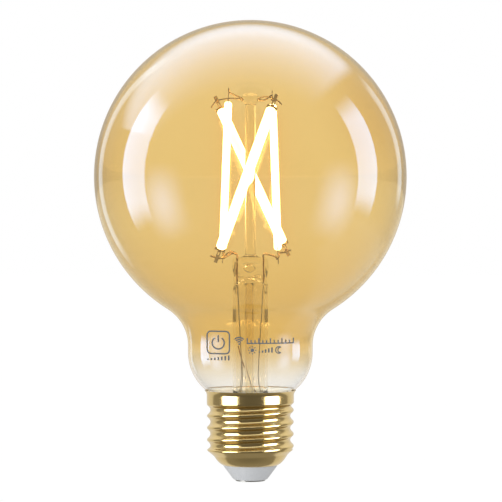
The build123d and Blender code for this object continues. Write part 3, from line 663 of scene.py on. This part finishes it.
BLEND_LOW = PRESS_BOTTOM - 3.4
HOLLOW_TOP = PRESS_BOTTOM + 1.6
tube_z = spaced(FLARE_START, BLEND_LOW, 26)
press_z = np.linspace(BLEND_LOW, PRESS_TOP - 1.5, 46)
flat = smooth(press_z, BLEND_LOW, PRESS_BOTTOM + 0.8)
press_x = STEM_RADIUS + (5.08 - STEM_RADIUS) * flat + 0.42 * smooth(
    press_z, PRESS_BOTTOM + 1.2, PRESS_TOP - 2.5
)
press_y = STEM_RADIUS + (2.5 - STEM_RADIUS) * flat
press_power = 2 + 1.3 * flat
shoulder_angle = np.linspace(0.06, 1.4, 12)
shoulder_in = 1.5 * (1 - np.cos(shoulder_angle))
shoulder_z = PRESS_TOP - 1.5 + 1.5 * np.sin(shoulder_angle)
outer_rings = np.concatenate(
    [
        squared_ring(flare_out[:, 0], flare_out[:, 0], 2.0, flare_out[:, 1]),
        squared_ring(STEM_RADIUS, STEM_RADIUS, 2.0, tube_z),
        squared_ring(press_x, press_y, press_power, press_z, 0.022 * flat),
        squared_ring(
            press_x[-1] - shoulder_in,
            press_y[-1] - shoulder_in,
            press_power[-1],
            shoulder_z,
            0.022,
        ),
    ]
)
hollow_z = np.linspace(HOLLOW_TOP - 0.05, BLEND_LOW, 34)
closing = np.sqrt(np.clip((HOLLOW_TOP - hollow_z) / 2.2, 0, 1))
hollow_flat = smooth(hollow_z, BLEND_LOW, PRESS_BOTTOM + 0.6)
bore = STEM_RADIUS - STEM_WALL
hollow_x = (bore + (4.3 - bore) * hollow_flat) * closing
hollow_y = (bore + (1.55 - bore) * hollow_flat) * closing
inner_rings = np.concatenate(
    [
        squared_ring(hollow_x, hollow_y, 2 + 0.6 * hollow_flat, hollow_z, 0.035 * hollow_flat),
        squared_ring(bore, bore, 2.0, tube_z[::-1]),
        squared_ring(flare_in[:, 0], flare_in[:, 0], 2.0, flare_in[:, 1]),
    ]
)
stem_skin = skin(
    np.concatenate([inner_rings, outer_rings]),
    poles=[(0, 0, HOLLOW_TOP), (0, 0, PRESS_TOP)],
)


def bubble(centre, half, lump, phase):
    """A closed void in the glass, an ellipsoid whose radius waves by `lump`, faces inwards."""
    a = np.linspace(-math.pi / 2, math.pi / 2, 22)[1:-1, None]
    b = spaced(0, TURN, 36)[None, :]
    wave = 1 + lump * np.sin(2 * b + phase) * np.cos(3 * a + phase)
    points = np.stack(
        [
            centre[0] + half[0] * wave * np.cos(a) * np.cos(b),
            centre[1] + half[1] * wave * np.cos(a) * np.sin(b),
            centre[2] + half[2] * np.broadcast_to(np.sin(a), wave.shape),
        ],
        -1,
    )
    return skin(points[:, ::-1])


# Voids left in the press: x, y, height above its foot, half sizes, wave and phase.
VOIDS = (
    (TUBE_OFFSET, -0.4, 4.5, (1.7, 1.35, 1.3), 0.16, 0.4),
    (TUBE_OFFSET + 0.3, 0.2, 6.0, (2.4, 0.5, 0.28), 0.12, 2.2),
    (-2.6, -0.9, 1.9, (1.5, 0.5, 0.3), 0.2, 0.9), (0.3, -1.1, 1.95, (1.1, 0.45, 0.42), 0.22, 2.6),
    (2.5, -0.8, 2.3, (1.3, 0.5, 0.35), 0.2, 4.1), (1.7, 0.7, 1.9, (1.6, 0.4, 0.25), 0.2, 5.2),
    (-4.5, -0.3, 4.3, (0.3, 1.2, 2.4), 0.2, 1.1), (4.6, -0.2, 3.3, (0.2, 1.1, 1.6), 0.18, 3.3),
    (-1.2, -1.75, 1.2, (0.9, 0.3, 0.22), 0.3, 0.3), (1.1, -1.8, 1.0, (0.7, 0.25, 0.3), 0.3, 1.7),
    (3.2, -1.6, 1.5, (0.6, 0.3, 0.35), 0.3, 2.9), (-3.6, -1.5, 2.7, (0.5, 0.3, 0.6), 0.3, 4.4),
    (-4.1, -1.0, 6.3, (0.35, 0.5, 0.5), 0.3, 5.8),
)
stem_voids = [bubble((x, y, PRESS_BOTTOM + above), *shape) for x, y, above, *shape in VOIDS]
stem_glass = piece(
    "stem_press", joined(stem_skin, *stem_voids), glass_clear, "stem_glass", "stem_glass"
)
stem_glass.visible_shadow = False

# The exhaust tube: an open bore, drawn shut to a rounded tip at its lower end.
tip = TUBE_LOW[2]
tube_top = TUBE_HIGH[2] - 0.05
tube_profile = np.concatenate(
    [
        [(0, tip)],
        arc((0, tip + TUBE_RADIUS), TUBE_RADIUS, -87, 0, 12),
        np.stack([np.full(30, TUBE_RADIUS), spaced(tip + TUBE_RADIUS, tube_top, 30)], 1),
        [(TUBE_RADIUS, tube_top), (TUBE_BORE, tube_top)],
        np.stack([np.full(30, TUBE_BORE), spaced(tube_top - 1, tip + 2, 30)], 1),
        arc((0, tip + 1.9), TUBE_BORE, 0, -87, 10),
        [(0, tip + 1.9 - TUBE_BORE)],
    ]
)
tube_points, tube_faces = turned(tube_profile, 48)
tube_points = tube_points + np.array([TUBE_OFFSET, 0, 0])
exhaust = piece(
    "exhaust_glass", (tube_points, tube_faces), glass_clear, "stem_glass", "exhaust_tube"
)
exhaust.visible_shadow = False

# The rod, its foot on the press and the button that grips the upper wires.
BUTTON_LOW = ROD_HIGH[2] - 3.4
rod_z = spaced(PRESS_TOP + 1.1, BUTTON_LOW - 0.2, 60)
rod_profile = np.concatenate(
    [
        [(0, PRESS_TOP + 0.01), (2.9, PRESS_TOP + 0.01), (2.2, PRESS_TOP + 0.28)],
        [(1.78, PRESS_TOP + 0.65)],
        np.stack([1.56 + 0.02 * np.sin(rod_z * 0.35), rod_z], 1),
        eased(
            [
                (1.58, BUTTON_LOW - 0.2), (1.62, BUTTON_LOW + 0.25), (2.98, BUTTON_LOW + 1.15),
                (2.98, BUTTON_LOW + 2.2), (2.1, BUTTON_LOW + 2.75), (2.0, ROD_HIGH[2]),
                (0.3, ROD_HIGH[2]),
            ],
            0.45,
            7,
            closed=False,
        ),
        [(0, ROD_HIGH[2])],
    ]
)
rod = piece("rod_and_button", turned(rod_profile, 64), glass_clear, "stem_glass", "support_rod")
rod.visible_shadow = False


# ---- Filaments ------------------------------------------------------------------------
def filament_axes(index, foot, lean):
    """A filament's origin and unit vectors: width, inward face and length."""
    length = np.array([lean[0], lean[1], math.sqrt(FILAMENT_LENGTH**2 - lean[0] ** 2 - lean[1] ** 2)])
    length /= np.linalg.norm(length)
    width = np.array([math.cos(math.pi / 2 * index), math.sin(math.pi / 2 * index), 0.0])
    width -= length * (width @ length)
    width /= np.linalg.norm(width)
    origin = np.array([foot[0], foot[1], PRESS_TOP + foot[2]])
    return origin, width, np.cross(length, width), length


axes = {
    name: filament_axes(index, foot, lean)
    for index, (name, (foot, lean)) in enumerate(FILAMENTS.items())
}

# A slot-shaped bead: half width a(s), half thickness b(s), closing in a quarter ellipse over
# its ends; s runs along the bead.
BEAD_END = 1.1
BEAD_HALF_WIDTH, BEAD_HALF_THICKNESS = 1.49, 1.15
turned_in = BEAD_END * (1 - np.cos(np.linspace(0, math.pi / 2, 9)))
straight = np.linspace(BEAD_END, FILAMENT_LENGTH - BEAD_END, 60)[1:-1]
s = np.concatenate([turned_in, straight, FILAMENT_LENGTH - turned_in[::-1]])
s = np.clip(s, 0.01, FILAMENT_LENGTH - 0.01)
near = np.clip(np.minimum(s, FILAMENT_LENGTH - s) / BEAD_END, 0, 1)
shrink = 1 - 0.8 * (1 - np.sqrt(np.clip(1 - (1 - near) ** 2, 0, 1)))
t = spaced(0, TURN, 36)[None, :]
c, sn = np.cos(t), np.sin(t)
for name, (origin, width, face, length) in axes.items():
    swell = (1 + 0.012 * np.sin(s * 0.9 + len(name)))[:, None] * shrink[:, None]
    across = BEAD_HALF_WIDTH * np.sign(c) * np.abs(c) ** 0.82 * swell
    thick = BEAD_HALF_THICKNESS * np.sign(sn) * np.abs(sn) ** 0.9 * swell
    rings = (
        origin
        + s[:, None, None] * length
        + across[:, :, None] * width
        + thick[:, :, None] * face
    )
    piece(
        f"{name}_phosphor",
        skin(rings, poles=(origin, origin + FILAMENT_LENGTH * length)),
        phosphor,
        "phosphor",
        f"{name}_filament_phosphor",
    ).visible_glossy = False


# ---- Wires ----------------------------------------------------------------------------
def weld(name, at_head, radius, way=1):
    """Two points of a wire's straight run across the inner face of a filament's tab."""
    origin, width, face, length = axes[name]
    place = FILAMENT_LENGTH + WELD_PLACE if at_head else -WELD_PLACE
    middle = origin + length * place + face * (TAB_THICKNESS / 2 + radius)
    return [middle - way * WELD_HALF_RUN * width, middle + way * WELD_HALF_RUN * width]


LEAD_PLACE = 3.9
PAIR_HALF = 0.6
lead_top = PRESS_TOP - 1.0
anchor = BUTTON_LOW + 1.7
# radius, metal and slot of each kind of wire
INNER_LEAD = (LEAD_RADIUS, lead_nickel, "inner_leads")
SUPPORT_WIRE = (SUPPORT_RADIUS, molybdenum, "support_wires")
OUTER_LEAD = (OUTER_RADIUS, tinned, "outer_leads")
wires = {
    "inner_lead_warm": ([
        (-LEAD_PLACE, -PAIR_HALF, lead_top), (-LEAD_PLACE, -PAIR_HALF, PRESS_TOP + 0.9),
        (-5.6, -1.4, PRESS_TOP + 1.4), (-7.0, -4.4, PRESS_TOP + 0.3),
        *weld("front", False, LEAD_RADIUS, -1), (-11.9, -7.4, PRESS_TOP + 0.4),
    ], *INNER_LEAD),
    "inner_lead_cool": ([
        (-LEAD_PLACE, PAIR_HALF, lead_top), (-LEAD_PLACE, PAIR_HALF, PRESS_TOP + 1.0),
        (-5.8, 1.4, PRESS_TOP + 1.8), (-7.0, 3.2, PRESS_TOP + 1.4),
        *weld("left", False, LEAD_RADIUS, -1), (-8.3, 8.0, PRESS_TOP + 1.5),
    ], *INNER_LEAD),
    "inner_lead_common": ([
        (LEAD_PLACE, 0, lead_top), (LEAD_PLACE, 0, PRESS_TOP + 1.1), (5.4, -4.4, PRESS_TOP + 0.9),
        (7.4, -7.6, PRESS_TOP + 0.4), *weld("right", False, LEAD_RADIUS),
        (8.9, -1.4, PRESS_TOP + 0.5), (8.2, 4.4, PRESS_TOP + 1.3),
        *weld("back", False, LEAD_RADIUS, -1), (12.4, 6.4, PRESS_TOP + 2.1),
    ], *INNER_LEAD),
    "top_wire_left": ([
        (-6.5, -6.4, anchor + 2.6), *weld("left", True, SUPPORT_RADIUS, -1),
        (-4.2, -1.4, anchor + 0.9), (-1.9, -0.6, anchor), (-2.0, 0.6, anchor),
        (-5.4, 3.4, anchor + 0.6), *weld("back", True, SUPPORT_RADIUS), (-12.0, 6.0, anchor - 2.2),
    ], *SUPPORT_WIRE),
    "top_wire_right": ([
        (9.4, -6.4, anchor - 2.0), *weld("front", True, SUPPORT_RADIUS, -1),
        (4.6, -3.6, anchor + 0.7), (1.9, -0.6, anchor), (2.0, 0.6, anchor),
        (4.4, 1.6, anchor - 0.4), *weld("right", True, SUPPORT_RADIUS), (6.5, 6.6, anchor + 0.1),
    ], *SUPPORT_WIRE),
    "outer_lead_warm": ([
        (-LEAD_PLACE, -PAIR_HALF, PRESS_BOTTOM + 0.5),
        (-LEAD_PLACE, -PAIR_HALF, PRESS_BOTTOM - 1.5), (-3.3, -1.3, 50), (-2.8, -1.9, 39),
        (-1.9, -2.7, 28), (-7.6, -2.6, 14.2),
    ], *OUTER_LEAD),
    "outer_lead_cool": ([
        (-LEAD_PLACE, PAIR_HALF, PRESS_BOTTOM + 0.5), (-LEAD_PLACE, PAIR_HALF, PRESS_BOTTOM - 1.5),
        (-3.4, 1.0, 50), (-2.9, 1.5, 39), (-2.7, 1.9, 28), (-6.8, 1.2, 14.2),
    ], *OUTER_LEAD),
    "outer_lead_common": ([
        (LEAD_PLACE, 0, PRESS_BOTTOM + 0.5), (LEAD_PLACE, 0, PRESS_BOTTOM - 1.5), (3.3, -0.8, 50),
        (2.6, -1.5, 38), (2.1, -2.1, 28), (8.6, 0.6, 14.2),
    ], *OUTER_LEAD),
    "antenna_wire": (
        [(3.2, 3.04, 20.5), (3.2, 3.04, 23.2), (0.9, 2.6, 28), (-2.6, 2.2, 36), (-3.8, 1.2, 41)],
        ANTENNA_RADIUS,
        enamelled,
        "antenna",
    ),
}
for name, (controls, radius, material, slot) in wires.items():
    piece(f"{name}_drawn", wire(curve_through(controls), radius), material, slot, name)


# ---- Print on the neck ----------------------------------------------------------------
def glass_radius(z):
    """Outer radius of the neck: the shoulder's arc, straight, then the concave blend's arc."""
    above = np.clip(z - BLEND_HEIGHT, 0, None)
    below = np.clip(NECK_LOW - z, 0, None)
    blended = NECK_RADIUS + NECK_BLEND - np.sqrt(NECK_BLEND**2 - above**2)
    return blended - SHOULDER_RADIUS + np.sqrt(SHOULDER_RADIUS**2 - below**2)


INK_LIFT = 0.01
INK_DEPTH = 0.03


def stroke(path, width, looped=False):
    """A printed line: a rectangle width x INK_DEPTH carried along an (x, z) path and laid on
    the glass, y = -sqrt(R(z)^2 - x^2)."""
    path = np.array(path, float)
    if looped:
        direction = np.roll(path, -1, 0) - np.roll(path, 1, 0)
    else:
        direction = np.gradient(path, axis=0)
    direction /= np.linalg.norm(direction, axis=1, keepdims=True)
    side = np.stack([-direction[:, 1], direction[:, 0]], 1) * width / 2
    rings = []
    for offset, lift in ((side, 0), (-side, 0), (-side, INK_DEPTH), (side, INK_DEPTH)):
        x, z = (path + offset).T
        reach = glass_radius(z) + INK_LIFT + lift
        rings.append(np.stack([x, -np.sqrt(reach**2 - x**2), z], 1))
    return skin(np.stack(rings, 1), looped)


def circle(centre, radius, first=0, last=360, count=40):
    """Points of a circle in the (x, z) plane, open or closed."""
    whole = last - first >= 360
    t = np.radians(np.linspace(first, last, count, endpoint=not whole))
    return np.stack([centre[0] + radius * np.cos(t), centre[1] + radius * np.sin(t)], 1)


def line(first, last, count=6):
    """Evenly spaced points of a straight line in the (x, z) plane."""
    return np.linspace(first, last, count)


LINE = 0.4
frame_middle = np.array([-9.55, 42.7])
half = 3.35
square = eased(frame_middle + half * np.array([(-1, -1), (1, -1), (1, 1), (-1, 1)]), 1.4, 8)
sides = zip(square, np.roll(square, -1, 0))
marks = [
    stroke(np.concatenate([line(a, b, 8)[:-1] for a, b in sides]), LINE, True),
    stroke(circle(frame_middle + (0, -0.15), 1.8, 125, 415, 50), 0.42),
    stroke(line(frame_middle + (0, 0.1), frame_middle + (0, 2.2)), 0.42),
]
# beneath it, a row of bars that grow
for n in range(7):
    x = -12.65 + 1.04 * n
    marks.append(stroke(line((x, 37.4), (x, 37.8 + 0.18 * n), 5), 0.45))
# wireless arcs, then a graduated scale
arcs_at = np.array([-3.3, 42.3])
marks += [stroke(circle(arcs_at, r, 45, 135, 18), 0.36) for r in (0.72, 1.34, 1.96)]
marks.append(stroke(circle(arcs_at, 0.14, count=16), 0.27, True))
marks.append(stroke(line((-1.05, 42.5), (13.0, 42.5), 40), 0.34))
for n in range(13):
    x, tall = -0.9 + n * 1.145, 1.5 if n % 3 == 0 else 0.95
    marks.append(stroke(line((x, 42.55), (x, 42.55 + tall)), 0.34))
# a sun, bars that grow, and a moon
sun = np.array([0.6, 40.5])
marks.append(stroke(circle(sun, 0.3, count=24), 0.5, True))
for n in range(8):
    way = np.array([math.cos(n * TURN / 8), math.sin(n * TURN / 8)])
    marks.append(stroke(line(sun + 0.82 * way, sun + 1.25 * way, 3), 0.27))
for n in range(5):
    x = 2.7 + n * 0.93
    marks.append(stroke(line((x, 39.75), (x, 40.1 + 0.3 * n), 5), 0.46))
moon = np.array([8.5, 40.5])
marks.append(stroke(circle(moon, 0.98, 55, 305, 30), 0.3))
marks.append(stroke(circle(moon + (0.5, 0), 0.8, 80, 280, 30), 0.3))
piece("neck_print", joined(*marks), ink, "cap_insulator")

# ---- Stage, lights and camera ---------------------------------------------------------
scene = bpy.context.scene
scene.view_settings.view_transform = "Standard"
scene.cycles.max_bounces = 32
scene.cycles.transmission_bounces = 32
scene.cycles.transparent_max_bounces = 32
scene.cycles.glossy_bounces = 6

# White paper sweep: shadowless and one-sided, so that it never hides the lamp from below.
paper = bpy.data.materials.new("white_paper_sweep")
paper.use_nodes = True
tree = paper.node_tree
tree.nodes.clear()
fibre = add(tree, "TexNoise", {"Vector": object_mm(tree), "Scale": 0.02, "Detail": 2.0})
white = add(
    tree, "Mix", {"Factor": fibre.outputs["Fac"], 6: (1, 1, 1, 1), 7: (1.01, 1.01, 1.01, 1)},
    data_type="RGBA",
)
glow = add(tree, "Emission", {"Color": white.outputs[2], "Strength": 1.0})
behind = add(tree, "NewGeometry").outputs["Backfacing"]
sheet = add(tree, "MixShader", {0: behind, 1: glow.outputs[0], 2: add(tree, "BsdfTransparent").outputs[0]})
add(tree, "OutputMaterial", {"Surface": sheet.outputs[0]})
floor_mesh = bpy.data.meshes.new("floor")
edge, below = 6.0, -0.0004
floor_corners = [(-edge, -edge, below), (edge, -edge, below), (edge, edge, below), (-edge, edge, below)]
floor_mesh.from_pydata(floor_corners, [], [(0, 1, 2, 3)])
floor_mesh.materials.append(paper)
floor = bpy.data.objects.new("floor", floor_mesh)
floor.visible_glossy = floor.visible_diffuse = False
scene.collection.objects.link(floor)

# The studio: white seen directly or through the glass; in reflections a room with a dim
# front (the camera's side) and a lighter back, and an even fill for everything matt.
world = bpy.data.worlds.new("studio")
scene.world = world
world.use_nodes = True
tree = world.node_tree
tree.nodes.clear()
way = add(tree, "SeparateXYZ", {0: add(tree, "TexCoord").outputs["Generated"]})
room = add(
    tree,
    "MapRange",
    {"Value": way.outputs["Y"], "From Min": -0.85, "From Max": 0.3, "To Min": 0.13, "To Max": 0.3},
    interpolation_type="SMOOTHSTEP",
).outputs["Result"]
lift = {"Value": way.outputs["Z"], "From Min": 0.1, "From Max": 0.7, "To Max": 0.2}
ceiling = add(tree, "MapRange", lift).outputs["Result"]
room = add(tree, "Math", {0: room, 1: ceiling}, operation="ADD").outputs[0]
rear = {"Value": way.outputs["Y"], "From Min": 0.48, "From Max": 0.62, "To Max": 0.08}
rear = add(tree, "MapRange", rear, interpolation_type="SMOOTHSTEP").outputs["Result"]
room = add(tree, "Math", {0: room, 1: rear}, operation="ADD").outputs[0]
passed = add(tree, "LightPath")
inside = {0: passed.outputs["Transmission Depth"], 1: 1.0}
inside = add(tree, "Math", inside, operation="MINIMUM").outputs[0]
fill = add(tree, "Mix", {"Factor": inside, "A": 0.6, "B": 2.2}).outputs[0]
diffused = {0: passed.outputs["Diffuse Depth"], 1: 1.0}
diffused = add(tree, "Math", diffused, operation="MINIMUM").outputs[0]
# 1 for a ray that has bounced off something, 0 for one that came straight through
bounced = {0: passed.outputs["Glossy Depth"], 1: passed.outputs["Diffuse Depth"]}
bounced = add(tree, "Math", bounced, operation="ADD", use_clamp=True).outputs[0]
filled = add(tree, "Mix", {"Factor": diffused, "A": room, "B": fill}).outputs[0]
radiance = add(tree, "Mix", {"Factor": bounced, "A": 1.0, "B": filled}).outputs[0]
sharp = add(tree, "Math", {0: bounced, 1: diffused}, operation="SUBTRACT").outputs[0]
amber_room = {"Factor": sharp, 6: (1, 1, 1, 1), 7: linear("#FFFAF0")}
amber_room = add(tree, "Mix", amber_room, data_type="RGBA").outputs[2]
backdrop = add(tree, "Background", {"Color": amber_room, "Strength": radiance})
add(tree, "OutputWorld", {"Surface": backdrop.outputs[0]})

glass_pieces = bpy.data.collections.new("lit_glass")
brass_pieces = bpy.data.collections.new("lit_cap")
glass_pieces.objects.link(globe_glass)
brass_pieces.objects.link(shell)
base_pieces = bpy.data.collections.new("lit_base")
for shown in (insulator, contact):
    base_pieces.objects.link(shown)


def soft_light(name, place, facing, size, radiance, colour, lit, fade, once=False):
    """A soft rectangular light at a place in metres, facing along a vector, on the pieces of
    one collection; power = radiance x pi x area. Its two pairs of edges fade over shares of
    its size. If once, what it lights is not mirrored again in its own flanks."""
    light = bpy.data.lights.new(name, "AREA")
    light.shape = "RECTANGLE"
    light.color = colour
    light.size, light.size_y = size
    light.energy = radiance * math.pi * size[0] * size[1]
    light.use_nodes = True
    tree = light.node_tree
    spot = add(tree, "NewGeometry").outputs["Parametric"]
    spot = add(tree, "SeparateXYZ", {0: spot})
    shares = []
    for axis, width in zip("XY", fade):
        for start, stop in ((0.0, width), (1.0, 1.0 - width)):
            edge = {"Value": spot.outputs[axis], "From Min": start, "From Max": stop}
            ramp = add(tree, "MapRange", edge, interpolation_type="SMOOTHSTEP")
            shares.append(ramp.outputs["Result"])
    share = shares[0]
    for more in shares[1:]:
        share = add(tree, "Math", {0: share, 1: more}, operation="MULTIPLY").outputs[0]
    if once:
        depth = add(tree, "LightPath").outputs["Ray Depth"]
        first = {"Value": depth, "From Min": 2.0, "From Max": 3.0, "To Min": 1.0, "To Max": 0.06}
        first = add(tree, "MapRange", first).outputs["Result"]
        share = add(tree, "Math", {0: share, 1: first}, operation="MULTIPLY").outputs[0]
    tree.links.new(share, tree.nodes["Emission"].inputs["Strength"])
    box = bpy.data.objects.new(name, light)
    box.location = place
    box.rotation_mode = "QUATERNION"
    box.rotation_quaternion = (-Vector(facing)).to_track_quat("Z", "Y")
    box.visible_camera = box.visible_transmission = False
    box.light_linking.receiver_collection = lit
    scene.collection.objects.link(box)
    return box


def softbox(name, azimuths, elevations, radiance, colour, lit, height, fade=(0.02, 0.02), once=False):
    """A soft light 0.9 m off that fills a range of azimuths (0 at the camera, positive to the
    right) and elevations, in degrees, seen from the lamp's axis at a height."""
    reach = 0.9
    wide = 2 * reach * math.tan(math.radians(abs(azimuths[1] - azimuths[0]) / 2))
    tall = 2 * reach * math.tan(math.radians((elevations[1] - elevations[0]) / 2))
    a = math.radians(sum(azimuths) / 2)
    e = math.radians(sum(elevations) / 2)
    out = Vector((math.sin(a) * math.cos(e), -math.cos(a) * math.cos(e), math.sin(e)))
    place = out * reach + Vector((0, 0, height * MM))
    soft_light(name, place, -out, (wide, tall), radiance, colour, lit, fade, once)


cool, pale = (0.4, 0.63, 1.0), (0.6, 0.8, 1.0)
neutral, warm = (1.0, 1.0, 1.0), (1.0, 0.7, 0.38)
mid = GLOBE_CENTRE
ends = (0.06, 0.25)
all_soft = (0.5, 0.5)
for name, azimuths, elevations, radiance, colour, fade in (
    ("left_strip", (-105, -80), (-27, 45), 10.5, cool, ends),
    ("right_strip", (82, 104), (-20, 42), 10.0, cool, ends),
    ("left_patch", (-88, -46), (-42, 10), 7.5, cool, all_soft),
    ("right_patch", (46, 88), (-42, 12), 7.0, cool, all_soft),
    ("left_rim", (-147, -134), (-26, 45), 1.6, pale, (0.3, 0.2)),
    ("right_rim", (133, 146), (-8, 32), 1.6, pale, (0.3, 0.2)),
    ("low_window", (80, 150), (-62, -14), 0.45, pale, (0.12, 0.25)),
):
    softbox(name, azimuths, elevations, radiance, colour, glass_pieces, mid, fade)
down = (0, 0, -1)
soft_light("overhead", (-0.5, 0.3, 0.7), down, (2.2, 1.4), 4.4, cool, glass_pieces, (0.06, 0.45))
soft_light("upper_left", (-0.95, 0.5, 0.7), down, (1.3, 1.1), 15.0, cool, glass_pieces, (0.3, 0.35))
soft_light("back_wall", (0, 1.0, mid * MM), (0, -1, 0), (2.2, 1.5), 0.3, warm, glass_pieces, (0.3, 0.3))
cap_edge = (0.02, 0.02)
for name, azimuths, elevations, radiance, fade in (
    ("left_cap_box", (-78, -35), (-22, 26), 8.0, cap_edge),
    ("right_cap_box", (40, 82), (-22, 26), 8.0, cap_edge),
    ("front_strip", (-52, 52), (30, 42), 1.8, (0.2, 0.3)),
    ("left_cap_wall", (-178, -114), (-50, 50), 0.42, (0.05, 0.05)),
    ("right_cap_wall", (114, 178), (-50, 50), 0.42, (0.05, 0.05)),
):
    softbox(name, azimuths, elevations, radiance, neutral, brass_pieces, 15, fade, True)
softbox("base_box", (-95, -25), (-40, 30), 3.4, neutral, base_pieces, 5, all_soft)

# The camera's own flare: the lit filaments bleed a warm halo.
scene.use_nodes = True
comp = scene.node_tree
comp.nodes.clear()
layers = comp.nodes.new("CompositorNodeRLayers")
FLARE_THRESHOLD = 5.0
halo, plain = linear("#FF7A10"), (1.0, 1.0, 1.0, 1.0)
flares = []
for size, strength, flare_tint in ((0.1, 0.02, halo), (0.5, 0.022, halo), (0.4, 1.0, plain)):
    flare = comp.nodes.new("CompositorNodeGlare")
    flare.glare_type, flare.quality = "BLOOM", "HIGH"
    sockets = {"Threshold": FLARE_THRESHOLD, "Size": size, "Strength": strength, "Tint": flare_tint}
    for key, value in sockets.items():
        flare.inputs[key].default_value = value
    flares.append(flare)
near_halo, wide_halo, spread = flares
comp.links.new(layers.outputs["Image"], near_halo.inputs["Image"])
comp.links.new(near_halo.outputs["Image"], wide_halo.inputs["Image"])
comp.links.new(layers.outputs["Image"], spread.inputs["Image"])
ember = comp.nodes.new("CompositorNodeMixRGB")
ember.blend_type = "MULTIPLY"
ember.inputs[2].default_value = (1.0, 0.84, 0.7, 1.0)
comp.links.new(spread.outputs["Glare"], ember.inputs[0])
comp.links.new(wide_halo.outputs["Image"], ember.inputs[1])
composite = comp.nodes.new("CompositorNodeComposite")
comp.links.new(ember.outputs["Image"], composite.inputs["Image"])

camera_data = bpy.data.cameras.new("camera")
camera = bpy.data.objects.new("camera", camera_data)
scene.collection.objects.link(camera)
CAMERA_AWAY = 0.726  # metres in front of the lamp's axis
camera.location = (0.0002, -CAMERA_AWAY, LAMP_TOP * MM / 2 - 0.0001)
camera.rotation_euler = (math.pi / 2, 0, 0)
camera_data.sensor_width = 36
camera_data.lens = 171.1
camera_data.clip_start = 0.01
scene.camera = camera
